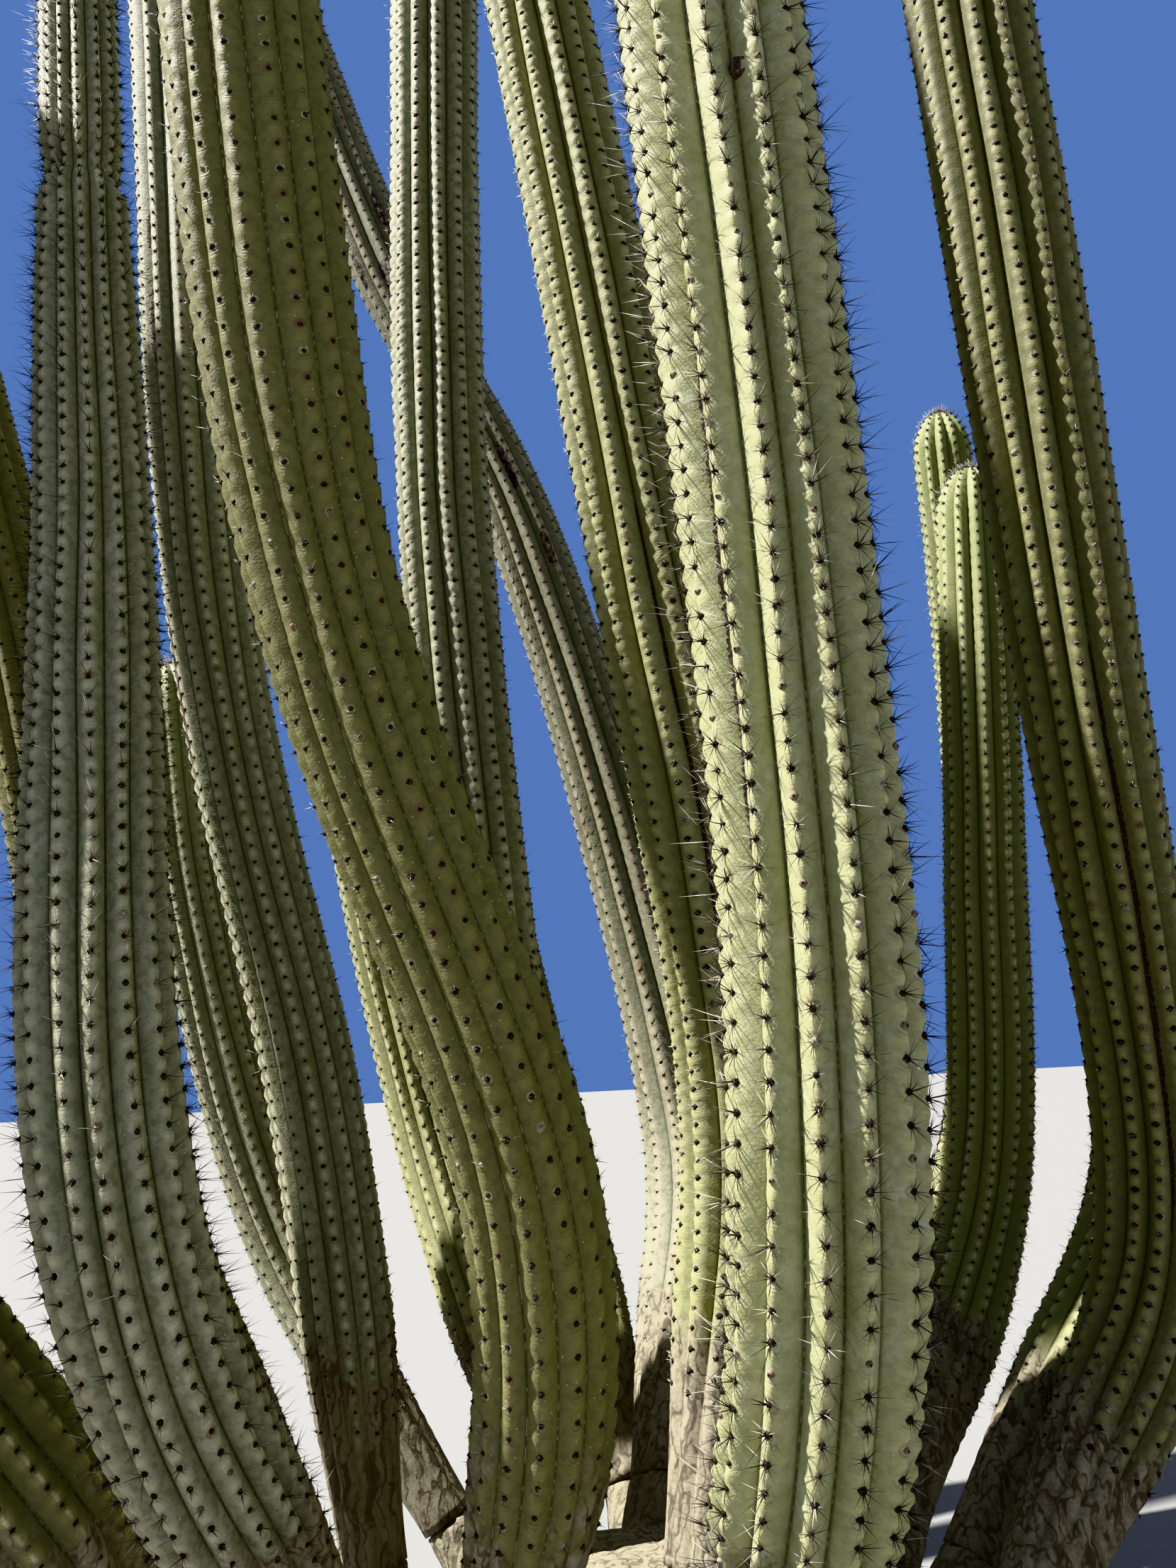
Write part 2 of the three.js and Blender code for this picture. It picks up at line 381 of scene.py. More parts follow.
def bell(value, width):
    return np.exp(-(value / width) ** 2)


def smoothRandom(seed, length, step, distance):
    # A gentle random wave between -1 and 1 along a stem, from a number or a generator.
    knots = np.random.default_rng(seed).uniform(-1, 1, int(length / step) + 4)
    place = np.clip(distance / step, 0, len(knots) - 1.001)
    low = place.astype(int)
    return mix(knots[low], knots[low + 1], ease(place - low, 0, 1))


def stemRadius(stem, distance):
    own = mix(stem["low"], stem["high"], ease(distance, *stemForm["girth"])) / 2
    share = mix(stemForm["footShare"], 1, ease(distance, 0, stemForm["footLength"]))
    if "waist" in stem:
        waist, narrow = stem["waist"]
        up = distance - waist
        pinch = np.where(up < 0, bell(up, waistForm["below"]), bell(up, waistForm["above"]))
        collar = bell(up + waistForm["collarDrop"], waistForm["collarWidth"])
        share = share * mix(1, narrow, ease(distance, waist - waistForm["shoulder"], waist))
        share = share * (1 + waistForm["collar"] * collar)
        share = share * (1 - waistForm["pinch"] * pinch)
    return own * share


# mesh making

def addMesh(name, points, faces, attributes=None, smooth=True):
    # faces is a list of arrays, each of faces with the same number of corners
    mesh = bpy.data.meshes.new(name)
    mesh.vertices.add(len(points))
    mesh.vertices.foreach_set("co", np.ravel(points).astype(np.float32))
    corners = np.concatenate([np.ravel(block) for block in faces]).astype(np.int32)
    counts = np.concatenate([np.full(len(block), block.shape[1]) for block in faces])
    mesh.loops.add(len(corners))
    mesh.loops.foreach_set("vertex_index", corners)
    mesh.polygons.add(len(counts))
    starts = np.concatenate([[0], np.cumsum(counts)[:-1]]).astype(np.int32)
    mesh.polygons.foreach_set("loop_start", starts)
    mesh.polygons.foreach_set("use_smooth", np.full(len(counts), smooth))
    for key, values in (attributes or {}).items():
        layer = mesh.attributes.new(key, "FLOAT", "POINT")
        layer.data.foreach_set("value", np.ravel(values).astype(np.float32))
    mesh.update(calc_edges=True)
    mesh.validate()
    piece = bpy.data.objects.new(name, mesh)
    bpy.context.scene.collection.objects.link(piece)
    return piece


def gridFaces(rows, columns, closed=True):
    # quads between rows of points, which close on themselves as rings or stay open as strips
    row = np.arange(rows - 1)[:, None] * columns
    here = np.arange(columns if closed else columns - 1)[None, :]
    after = (here + 1) % columns
    quads = np.stack([row + here, row + after, row + columns + after, row + columns + here], -1)
    return quads.reshape(-1, 4)


def fan(start, columns, middle, flip=False):
    # triangles from a ring of points to one point
    here = start + np.arange(columns)
    after = start + (np.arange(columns) + 1) % columns
    if flip:
        here, after = after, here
    return np.stack([here, after, np.full(columns, middle)], 1)


def closedRings(rows, columns):
    # rings of points, then the two points that close the first and the last ring
    last = rows * columns
    return [gridFaces(rows, columns), fan(0, columns, last, flip=True),
            fan(last - columns, columns, last + 1)]


def lowerFace(sides):
    # one face that closes a ring from below
    return np.arange(sides)[::-1][None, :]


def circle(sides, a, b):
    # directions all round, for each pair of axes a and b
    turns = np.arange(sides) * 2 * np.pi / sides
    return a[:, None] * np.cos(turns)[None, :, None] + b[:, None] * np.sin(turns)[None, :, None]


def copies(faces, count, each):
    # the same faces for many shapes of so many points each
    starts = np.arange(count)[:, None, None] * each
    return [(block[None] + starts).reshape(-1, block.shape[1]) for block in faces]


domeForm = {
    "rowsLow": 0.95,  # how dense the rings are where the dome starts, as a share
    "rowsHigh": 0.45,
    "end": math.radians(86),  # one point closes the dome above this angle
}


def growthRows(stem, line, rows):
    # The distance along the stem and the share of its thickness, ring by ring, up to the tip.
    dome = stemForm["domeShare"] * stem["high"]
    shaft = line.length - dome
    step = stem["spacing"] / rows
    count = max(int(round(shaft / step / rows)) * rows, rows)
    distances = list(np.linspace(0, shaft, count + 1))
    shares = [1.0] * len(distances)
    angle = 0.0
    radius = stemRadius(stem, np.array(shaft))
    while True:
        reach = math.hypot(radius * math.sin(angle), dome * math.cos(angle))
        progress = angle / (math.pi / 2)
        spacing = step * mix(domeForm["rowsLow"], domeForm["rowsHigh"], progress)
        angle += spacing / max(float(reach), 1e-4)
        if angle > domeForm["end"]:
            break
        distances.append(shaft + dome * math.sin(angle))
        shares.append(math.cos(angle))
    return np.array(distances), np.array(shares)


class StemSkin:
    # The skin's surface, by ring number (u) and by rib and place across the rib (w).
    def __init__(self, name, stem):
        self.stem = stem
        self.rng = np.random.default_rng(sum(ord(letter) for letter in name))
        self.line = lineOf(stem)
        self.rows = detailLevels[stem["detail"]]["rows"]
        self.across = np.array(detailLevels[stem["detail"]]["across"], float)
        self.distances, self.shares = growthRows(stem, self.line, self.rows)
        self.last = len(self.distances) - 1
        self.rings = np.arange(self.last + 1)
        ribs = stem["ribs"]
        self.phases = self.rng.uniform(-stemForm["phase"], stemForm["phase"], ribs)
        self.wanderSeeds = self.rng.integers(0, 1 << 30, ribs)
        self.girthSeed = self.rng.integers(0, 1 << 30)
        self.swellSeed = self.rng.integers(0, 1 << 30)

    def wander(self, rib, distance):
        values = np.zeros(np.shape(distance))
        for one in range(self.stem["ribs"]):
            picked = (rib % self.stem["ribs"]) == one
            wave = smoothRandom(self.wanderSeeds[one], self.line.length,
                                stemForm["ribWave"], distance)
            values = np.where(picked, wave, values)
        return values * math.radians(stemForm["ribWander"])

    def away(self, rib, w, distance, spot, wide, long):
        # How far each point is from a spot, where 1 is the edge of an oval around it.
        ribs = self.stem["ribs"]
        beside = (rib + w / 2 - spot["rib"] + ribs / 2) % ribs - ribs / 2
        return np.hypot(beside / wide, (distance - spot["at"]) / long)

    def woundShare(self, rib, w, distance):
        # How much each point lies in a corky wound, from 0 to 1.
        value = np.zeros(np.shape(distance))
        for wound in self.stem["wounds"]:
            away = self.away(rib, w, distance, wound, wound["wide"], wound["long"])
            value = np.maximum(value, 1 - ease(away, stemForm["woundCore"], 1.0))
        return value

    def gallLift(self, rib, w, distance):
        # How far the skin swells around a gall.
        ribWidth = self.stem["high"] * math.pi / self.stem["ribs"]
        value = np.zeros(np.shape(distance))
        for gall in self.stem["galls"]:
            reach = gall["radius"] * gallForm["spread"]
            away = self.away(rib, w, distance, gall, reach / ribWidth, reach)
            value = value + gallForm["lift"] * (1 - ease(away, 0.0, 1.0))
        return value

    def grooveDepth(self, w, distance, fade):
        # How far the skin lies inside the crests, as a share of the radius.
        groove = mix(stemForm["footGroove"], stemForm["grooveShare"],
                     ease(distance, 0, stemForm["footLength"]))
        groove = groove - self.stem["cut"] * fade
        soft = stemForm["crestRound"]
        ridge = (np.sqrt(w * w + soft * soft) - soft) / (math.sqrt(1 + soft * soft) - soft)
        return (1 - groove) * mix(ridge, w * w, self.stem["round"])

    def swelling(self, u, w, distance, fade):
        # The crest swells between the cushions and sinks a little at them.
        swell = self.stem["swell"]
        crest = ease(1 - np.abs(w) / stemForm["swellReach"], 0, 1)
        part = (u / self.rows) % 1.0
        beat = 0.5 - 0.5 * np.cos(2 * np.pi * part ** stemForm["swellSkew"])
        wave = smoothRandom(self.swellSeed, self.line.length, stemForm["swellWave"], distance)
        uneven = 1 + stemForm["swellUneven"] * wave
        return swell * crest * fade * (beat * uneven - stemForm["swellSink"])

    def surface(self, u, rib, w):
        # u, rib and w are arrays of the same shape. Gives points, their skin values and frames.
        stem = self.stem
        ribs = stem["ribs"]
        beside = (rib + np.where(w < 0, -1, 1)) % ribs
        blend = np.abs(w) / 2
        phase = mix(self.phases[rib % ribs], self.phases[beside], blend)
        end = 2 * self.rows
        calm = ease(u, 0, end) * (1 - ease(u, self.last - end, self.last))
        place = np.clip(u + phase * self.rows * calm, 0, self.last)
        distance = np.interp(place, self.rings, self.distances)
        share = np.interp(place, self.rings, self.shares)
        fade = ease(distance, *stemForm["relief"])
        girth = smoothRandom(self.girthSeed, self.line.length, stemForm["girthWave"], distance)
        radius = stemRadius(stem, distance) * share
        radius = radius * (1 + stemForm["girthWander"] * girth * fade)
        reach = radius * (1 - self.grooveDepth(w, distance, fade))
        swelling = self.swelling(u, w, distance, fade)
        reach = reach + swelling * ease(share, *stemForm["tipRelief"])
        wound = self.woundShare(rib, w, distance)
        lumps = np.sin(u * 2.9 + rib * 4.7 + w * 6.1)  # any uneven rates do
        reach = reach + wound * stemForm["woundRelief"] * lumps
        reach = reach + self.gallLift(rib, w, distance)
        turn = math.radians(stem["turn"]) + 2 * np.pi * (rib + w / 2) / ribs
        stray = mix(self.wander(rib, distance), self.wander(beside, distance), blend)
        turn = turn + stray * fade
        middle, ahead, across, along = self.line.at(distance)
        out = across * np.cos(turn)[..., None] + along * np.sin(turn)[..., None]
        points = middle + out * reach[..., None] + ahead * stemForm["seatGap"]
        values = {
            "rib": 1 - np.abs(w),
            "ribNumber": rib + 0.0 * w,
            "beat": u / self.rows,
            "bark": 1 - ease(distance, *stemForm["bark"]),
            "tip": 1 - ease(self.line.length - distance, *stemForm["freshTip"]),
            "wound": wound,
        }
        return points, values, (out, ahead, distance, share)

    def mesh(self, name):
        ribs = self.stem["ribs"]
        rows, columns = self.last + 1, ribs * len(self.across)
        u = self.rings[:, None] * np.ones((1, columns))
        rib = np.ones((rows, 1), int) * np.repeat(np.arange(ribs), len(self.across))[None, :]
        w = np.ones((rows, 1)) * np.tile(self.across, ribs)[None, :]
        points, values, _ = self.surface(u, rib, w)
        foot, ahead, _, _ = self.line.at(np.array([0.0]))
        top, _, _, _ = self.line.at(np.array([self.line.length - 0.001]))
        points = np.concatenate([points.reshape(-1, 3), foot + ahead * stemForm["seatGap"], top])
        ends = {"rib": [1, 1], "ribNumber": [0, 0], "beat": [0, self.last / self.rows],
                "bark": [1, 0], "tip": [0, 1], "wound": [0, 0]}
        values = {key: np.concatenate([np.ravel(value), ends[key]])
                  for key, value in values.items()}
        piece = addMesh(name, points, closedRings(rows, columns), values)
        self.sharpenGrooves(piece.data, rows, columns)
        return piece

    def sharpenGrooves(self, mesh, rows, columns):
        ends = np.empty(len(mesh.edges) * 2, np.int32)
        mesh.edges.foreach_get("vertices", ends)
        ends = ends.reshape(-1, 2)
        inside = (ends < rows * columns).all(axis=1)
        column = ends % columns
        inGroove = (column[:, 0] == column[:, 1]) & (column[:, 0] % len(self.across) == 0)
        layer = mesh.attributes.new("sharp_edge", "BOOLEAN", "EDGE")
        layer.data.foreach_set("value", inside & inGroove)

    def areoles(self):
        # The places of the felt cushions, with the directions out of the skin and up the stem.
        ribs = self.stem["ribs"]
        beats = np.arange(0, self.last + 0.5, self.rows)
        u = beats[:, None] * np.ones((1, ribs))
        rib = np.ones((len(beats), 1), int) * np.arange(ribs)[None, :]
        w = np.zeros(u.shape)
        place, _, (out, ahead, distance, share) = self.surface(u, rib, w)
        near = 0.6  # rings, to either side
        above, _, _ = self.surface(np.clip(u + near, 0, self.last), rib, w)
        below, _, _ = self.surface(np.clip(u - near, 0, self.last), rib, w)
        up = unit(above - below, 1e-9)
        normal = unit(out - up * np.sum(out * up, axis=-1, keepdims=True), 1e-9)
        kept = (distance > stemForm["lowestFelt"]) & (share > stemForm["highestFelt"])
        return place[kept], normal[kept], up[kept], distance[kept]


# small things

feltForm = {
    # the felt is drawn wider than the felt alone, so that the dark felt also stands for painted
    # shade in the notch around each cushion
    "radius": 0.0037,
    "height": 0.0028,
    "sink": 0.0012,
    "longer": 1.15,  # up the stem, as a share of its width
    "sizes": (0.78, 1.15),  # smallest and largest, as a share of the usual
    "shoulder": (0.62, 0.75),  # width and height of the middle ring on the nearest stem
    "heart": 0.50,  # width of the dark heart of a worn cushion, as a share of the whole
    "heartLift": 0.0008,
    "grey": 0.05,  # share of the cushions that are grey
}

# lengths and thickness in metres; bare is the share of cushions without spines, worn the share
# of those whose felt is brown, and pale the share of spines that are
spineHabits = {
    "long": {"radials": 10, "radialLength": (0.013, 0.025), "centrals": 3, "rise": (8, 34),
             "centralLength": (0.020, 0.043), "thickness": 0.0011, "bare": 0.12, "worn": 0.70,
             "pale": 0.20},
    "fine": {"radials": 8, "radialLength": (0.008, 0.017), "centrals": 3, "rise": (15, 50),
             "centralLength": (0.016, 0.034), "thickness": 0.0009, "bare": 0.08, "worn": 0.40,
             "pale": 0.22},
    "short": {"radials": 5, "radialLength": (0.004, 0.010), "centrals": 1, "rise": (20, 60),
              "centralLength": (0.007, 0.018), "thickness": 0.0009, "bare": 0.24, "worn": 0.18,
              "pale": 0.28},
    "plain": {"radials": 6, "radialLength": (0.005, 0.012), "centrals": 1, "rise": (15, 50),
              "centralLength": (0.009, 0.020), "thickness": 0.0010, "bare": 0.20, "worn": 0.30,
              "pale": 0.25},
    "stubs": {"radials": 4, "radialLength": (0.004, 0.009), "centrals": 2, "rise": (15, 60),
              "centralLength": (0.004, 0.011), "thickness": 0.0015, "bare": 0.22, "worn": 0.30,
              "pale": 0.66},
    "young": {"radials": 8, "radialLength": (0.007, 0.014), "centrals": 2, "rise": (10, 45),
              "centralLength": (0.010, 0.020), "thickness": 0.0008, "bare": 0.03, "worn": 0.20,
              "pale": 0.40},
}

spineForm = {
    "vigour": (0.70, 1.15),  # length of one cushion's spines, as a share of the usual
    "stray": 0.48,  # how far spines leave their even places round the cushion
    "kept": 0.88,  # share of the spines that aren't broken off
    "centralRise": (42, 84),  # degrees above the skin
    "stout": 1.2,  # thickness of the central spines, as a share of the usual
    "slender": 0.9,  # and of the others
    "rootLift": 0.0008,
    "bareFrom": (0.05, 0.50),  # bare cushions begin between these distances from the tip
}

tipBristles = {
    "number": 9,
    "length": (0.008, 0.018),
    "rise": (30, 80),
    "reach": 0.11,  # metres of the tip that bear them
}


def perpendicular(directions):
    helper = np.where(np.abs(directions[:, 2:]) < 0.9, [[0, 0, 1.0]], [[1.0, 0, 0]])
    side = unit(np.cross(directions, helper))
    return side, np.cross(directions, side)


def spikes(name, roots, ways, lengths, thickness, sides=3):
    # Joined needles: a ring at the root, closed below, and one point at the tip.
    ring = roots[:, None] + circle(sides, *perpendicular(ways)) * (thickness[:, None, None] / 2)
    tips = roots + ways * lengths[:, None]
    points = np.concatenate([ring, tips[:, None]], 1).reshape(-1, 3)
    return addMesh(name, points, copies([fan(0, sides, sides), lowerFace(sides)],
                                        len(roots), sides + 1))


def feltCushions(name, places, normals, ups, sizes, sides, rings):
    # Low domes, closed below.
    ring = circle(sides, np.cross(ups, normals), ups * feltForm["longer"])
    ring = ring * (feltForm["radius"] * sizes[:, None, None])
    levels = [places[:, None] + ring - normals[:, None] * feltForm["sink"]]
    if rings == 2:
        width, height = feltForm["shoulder"]
        lift = normals[:, None] * feltForm["height"] * height
        levels.append(places[:, None] + ring * width + lift)
    levels.append((places + normals * feltForm["height"])[:, None])
    points = np.concatenate(levels, 1).reshape(-1, 3)
    faces = [lowerFace(sides), gridFaces(rings, sides),
             fan((rings - 1) * sides, sides, rings * sides)]
    return addMesh(name, points, copies(faces, len(places), rings * sides + 1))


def spineDirections(rng, habit, normals, ups, armed, atTip):
    # For every spine: its cushion, its direction, its length and whether it is a stout one.
    across = np.cross(ups, normals)
    count = len(normals)
    vigour = rng.uniform(*spineForm["vigour"], count)
    kinds = (
        (habit["radials"], habit["radialLength"], habit["rise"], armed, False),
        (habit["centrals"], habit["centralLength"], spineForm["centralRise"], armed, True),
        (tipBristles["number"], tipBristles["length"], tipBristles["rise"], atTip, False),
    )
    blocks = []
    for number, lengthRange, riseRange, bearing, stout in kinds:
        for one in range(number):
            stray = rng.uniform(-spineForm["stray"], spineForm["stray"], count)
            turn = 2 * np.pi * (one + stray) / number
            turn = turn + stout * rng.uniform(0, 2 * np.pi, count)
            rise = np.radians(rng.uniform(*riseRange, count))
            flat = across * np.cos(turn)[:, None] + ups * np.sin(turn)[:, None]
            way = flat * np.cos(rise)[:, None] + normals * np.sin(rise)[:, None]
            length = mix(*lengthRange, rng.random(count)) * vigour
            kept = bearing & (rng.random(count) < spineForm["kept"])
            blocks.append((np.nonzero(kept)[0], way[kept], length[kept],
                           np.full(kept.sum(), stout)))
    return [np.concatenate(block) for block in zip(*blocks)]


# shader nodes

def rgba(colour):
    return colour if isinstance(colour, bpy.types.NodeSocket) else (*colour, 1.0)


class Nodes:
    # A node tree, with short ways to add the nodes that the materials use.
    def __init__(self, tree):
        self.tree = tree

    def link(self, output, socket):
        self.tree.links.new(output, socket)

    def fill(self, node, values):
        # each value is a plain one, or the output of another node
        for key, value in values.items():
            if isinstance(value, bpy.types.NodeSocket):
                self.link(value, node.inputs[key])
            else:
                node.inputs[key].default_value = value
        return node

    def add(self, kind, values=None, **settings):
        node = self.tree.nodes.new("ShaderNode" + kind)
        for key, value in settings.items():
            setattr(node, key, value)
        return self.fill(node, values or {})

    def place(self, group, **values):
        return self.add("Group", values, node_tree=group).outputs

    def where(self):
        return self.add("TexCoord").outputs["Object"]

    def calc(self, operation, *values, clamp=False):
        node = self.add("Math", dict(enumerate(values)), operation=operation, use_clamp=clamp)
        return node.outputs[0]

    def times(self, *values):
        result = values[0]
        for value in values[1:]:
            result = self.calc("MULTIPLY", result, value)
        return result

    def step(self, value, low, high):
        # 0 at low and 1 at high, with soft ends
        node = self.add("MapRange", {"Value": value, "From Min": low, "From Max": high},
                        interpolation_type="SMOOTHSTEP")
        return node.outputs["Result"]

    def mix(self, share, a, b):
        node = self.add("Mix", {0: share, 6: rgba(a), 7: rgba(b)}, data_type="RGBA")
        return node.outputs[2]

    def mixValue(self, share, a, b):
        return self.add("Mix", {0: share, 2: a, 3: b}, data_type="FLOAT").outputs[0]

    def noise(self, vector, scale, detail, roughness=0.5, distortion=0.0):
        node = self.add("TexNoise", {"Vector": vector, "Scale": scale, "Detail": detail,
                                     "Roughness": roughness, "Distortion": distortion})
        return node.outputs["Fac"]

    def bump(self, height, distance, strength, shader):
        node = self.add("Bump", {"Height": height, "Distance": distance, "Strength": strength})
        self.link(node.outputs["Normal"], shader["Normal"])


def nodeGroup(name, inputs, outputs):
    group = bpy.data.node_groups.new(name, "ShaderNodeTree")
    for label, kind, value in inputs:
        socket = group.interface.new_socket(name=label, in_out="INPUT", socket_type=kind)
        if value is not None:
            socket.default_value = value
    for label, kind in outputs:
        group.interface.new_socket(name=label, in_out="OUTPUT", socket_type=kind)
    start = group.nodes.new("NodeGroupInput").outputs
    end = group.nodes.new("NodeGroupOutput").inputs
    return Nodes(group), start, end


def patchyGroup():
    # Soft blotches of two sizes, from 0 to 1.
    group, start, end = nodeGroup(
        "patches",
        [("Vector", "NodeSocketVector", None), ("Scale", "NodeSocketFloat", 8.0)],
        [("Mask", "NodeSocketFloat")])
    where, scale = start["Vector"], start["Scale"]
    large = group.noise(where, scale, 2.0, 0.6)
    small = group.noise(where, group.times(scale, 6.0), 3.0, 0.65)
    both = group.calc("ADD", group.times(large, 0.55), group.times(small, 0.45))
    group.link(group.step(both, 0.34, 0.66), end["Mask"])
    return group.tree


def speckGroup():
    # Small round specks, sparse and uneven.
    group, start, end = nodeGroup(
        "specks",
        [("Vector", "NodeSocketVector", None), ("Scale", "NodeSocketFloat", 160.0),
         ("Amount", "NodeSocketFloat", 0.2)],
        [("Mask", "NodeSocketFloat")])
    cells = group.add("TexVoronoi", {"Vector": start["Vector"], "Scale": start["Scale"]}).outputs
    dots = group.step(cells["Distance"], 0.30, 0.16)
    red = group.add("SeparateColor", {"Color": cells["Color"]}).outputs["Red"]
    chosen = group.calc("LESS_THAN", red, start["Amount"])
    group.link(group.times(dots, chosen), end["Mask"])
    return group.tree


corkForm = {
    "upright": 0.15,  # below 1 the pattern is stretched upward
    "sway": 0.03,
    "plates": 1.8,  # how much finer each layer is than the group's own scale
    "flakes": 2.2,
    "grain": 7.0,
    "crackWidth": 0.08,
    "crackDepth": 0.20,
    "flakeDepth": 0.52,
    "grainDepth": 0.30,
}


def corkGroup():
    # Grey-brown cork with upright fissures: its colour and its relief.
    group, start, end = nodeGroup(
        "cork",
        [("Vector", "NodeSocketVector", None), ("Scale", "NodeSocketFloat", 40.0),
         ("Dark", "NodeSocketColor", (0.075, 0.062, 0.044, 1)),
         ("Light", "NodeSocketColor", (0.27, 0.245, 0.180, 1))],
        [("Color", "NodeSocketColor"), ("Height", "NodeSocketFloat")])
    where, scale = start["Vector"], start["Scale"]
    upright = group.add("VectorMath", {0: where, 1: (1.0, 1.0, corkForm["upright"])},
                        operation="MULTIPLY").outputs[0]
    bend = group.add("TexNoise", {"Vector": where, "Scale": group.times(scale, 0.7)})
    moved = group.add("Mix", {0: corkForm["sway"], 4: upright, 5: bend.outputs["Color"]},
                      data_type="VECTOR").outputs[1]
    plates = group.noise(moved, group.times(scale, corkForm["plates"]), 1.0)
    flakes = group.noise(moved, group.times(scale, corkForm["flakes"]), 3.0)
    grain = group.noise(where, group.times(scale, corkForm["grain"]), 2.0)
    edge = group.calc("ABSOLUTE", group.calc("SUBTRACT", plates, 0.5))
    cracks = group.step(edge, 0.0, corkForm["crackWidth"])
    height = group.calc("ADD", group.times(cracks, corkForm["crackDepth"]),
                        group.times(flakes, corkForm["flakeDepth"]))
    height = group.calc("ADD", height, group.times(grain, corkForm["grainDepth"]))
    tone = group.step(height, 0.36, 0.76)
    group.link(group.mix(tone, start["Dark"], start["Light"]), end["Color"])
    group.link(height, end["Height"])
    return group.tree


patches = patchyGroup()
specks = speckGroup()
cork = corkGroup()


def newMaterial(name, roughness, specular):
    material = bpy.data.materials.new(name)
    material.use_nodes = True
    shader = material.node_tree.nodes["Principled BSDF"].inputs
    shader["Roughness"].default_value = roughness
    shader["Specular IOR Level"].default_value = specular
    return material, Nodes(material.node_tree), shader


# skins

# ring: share of cushions with a brown ring; line: strength of the painted highlight along the
# crest between cushions;
# dashes: pale dust in the grooves; the dark groove line: strength of its painted shade; crease:
# strength of the painted shade in the creases; wax: pale film on the flanks
# in each look the darkest colour is painted shade in the grooves and creases, and it also darkens
# the small blotches and the wrinkles
skinLooks = {
    # the crest colour is a paler tone that also holds painted highlight
    "pale": {"flank": (0.292, 0.300, 0.164), "crest": (0.395, 0.393, 0.198),
             "shadeAndDull": (0.090, 0.100, 0.054), "bloom": (0.42, 0.435, 0.320),
             "ring": 0.10, "scar": 0.22, "rust": 0.0, "crease": 0.30, "line": 0.20,
             "dashes": 0.85, "grooveShadeLine": 0.0, "wax": 0.55, "mottle": 0.20, "wounds": False},
    "green": {"flank": (0.210, 0.213, 0.106), "crest": (0.43, 0.423, 0.218),
              "shadeAndDull": (0.070, 0.075, 0.036), "bloom": (0.34, 0.343, 0.22),
              "ring": 0.05, "scar": 0.22, "rust": 0.0, "crease": 0.20, "line": 0.45,
              "dashes": 0.3, "grooveShadeLine": 0.5, "wax": 0.45, "mottle": 0.25, "wounds": False},
    # olive is darker than the other skins partly as painted shade for the front-left stem, which
    # stands in shade, and yellower as its own tone
    "olive": {"flank": (0.138, 0.137, 0.064), "crest": (0.208, 0.202, 0.090),
              "shadeAndDull": (0.064, 0.064, 0.029), "bloom": (0.20, 0.198, 0.105),
              "ring": 0.16, "scar": 0.22, "rust": 0.0, "crease": 0.45, "line": 0.15,
              "dashes": 0.8, "grooveShadeLine": 0.3, "wax": 0.25, "mottle": 0.35, "wounds": False},
    "dusty": {"flank": (0.112, 0.112, 0.054), "crest": (0.315, 0.306, 0.146),
              "shadeAndDull": (0.046, 0.048, 0.024), "bloom": (0.20, 0.200, 0.120),
              "ring": 0.12, "scar": 0.25, "rust": 0.0, "crease": 0.25, "line": 0.60,
              "dashes": 0.5, "grooveShadeLine": 0.6, "wax": 0.35, "mottle": 0.30, "wounds": False},
    "grey": {"flank": (0.212, 0.218, 0.144), "crest": (0.49, 0.484, 0.345),
             "shadeAndDull": (0.086, 0.091, 0.061), "bloom": (0.38, 0.386, 0.300),
             "ring": 0.05, "scar": 0.35, "rust": 0.55, "crease": 0.25, "line": 0.35,
             "dashes": 0.3, "grooveShadeLine": 0.75, "wax": 0.45, "mottle": 0.40, "wounds": True},
    "scarred": {"flank": (0.175, 0.172, 0.118), "crest": (0.34, 0.302, 0.215),
                "shadeAndDull": (0.078, 0.084, 0.052), "bloom": (0.33, 0.335, 0.26),
                "ring": 0.10, "scar": 0.85, "rust": 0.25, "crease": 0.25, "line": 0.15,
                "dashes": 0.2, "grooveShadeLine": 0.6, "wax": 0.40, "mottle": 0.45, "wounds": True},
    "young": {"flank": (0.142, 0.152, 0.064), "crest": (0.35, 0.352, 0.180),
              "shadeAndDull": (0.052, 0.061, 0.027), "bloom": (0.26, 0.272, 0.165),
              "ring": 0.03, "scar": 0.05, "rust": 0.0, "crease": 0.20, "line": 0.50,
              "dashes": 0.1, "grooveShadeLine": 0.5, "wax": 0.30, "mottle": 0.20, "wounds": False},
}

markColours = {
    "dust": (0.42, 0.405, 0.31),
    # painted shade for the thin line in the grooves
    "grooveShadeLine": (0.040, 0.041, 0.028),
    # painted highlight along the crest
    "crestHighlight": (0.60, 0.58, 0.38),
    "ring": (0.150, 0.085, 0.055),
    "rim": (0.50, 0.46, 0.36),
    "scar": (0.215, 0.140, 0.095),
    "rust": (0.26, 0.135, 0.055),
    "speck": (0.60, 0.58, 0.48),
    "freshTip": (0.33, 0.38, 0.170),
    "woundDark": (0.022, 0.017, 0.017),
    "woundLight": (0.200, 0.165, 0.145),
}

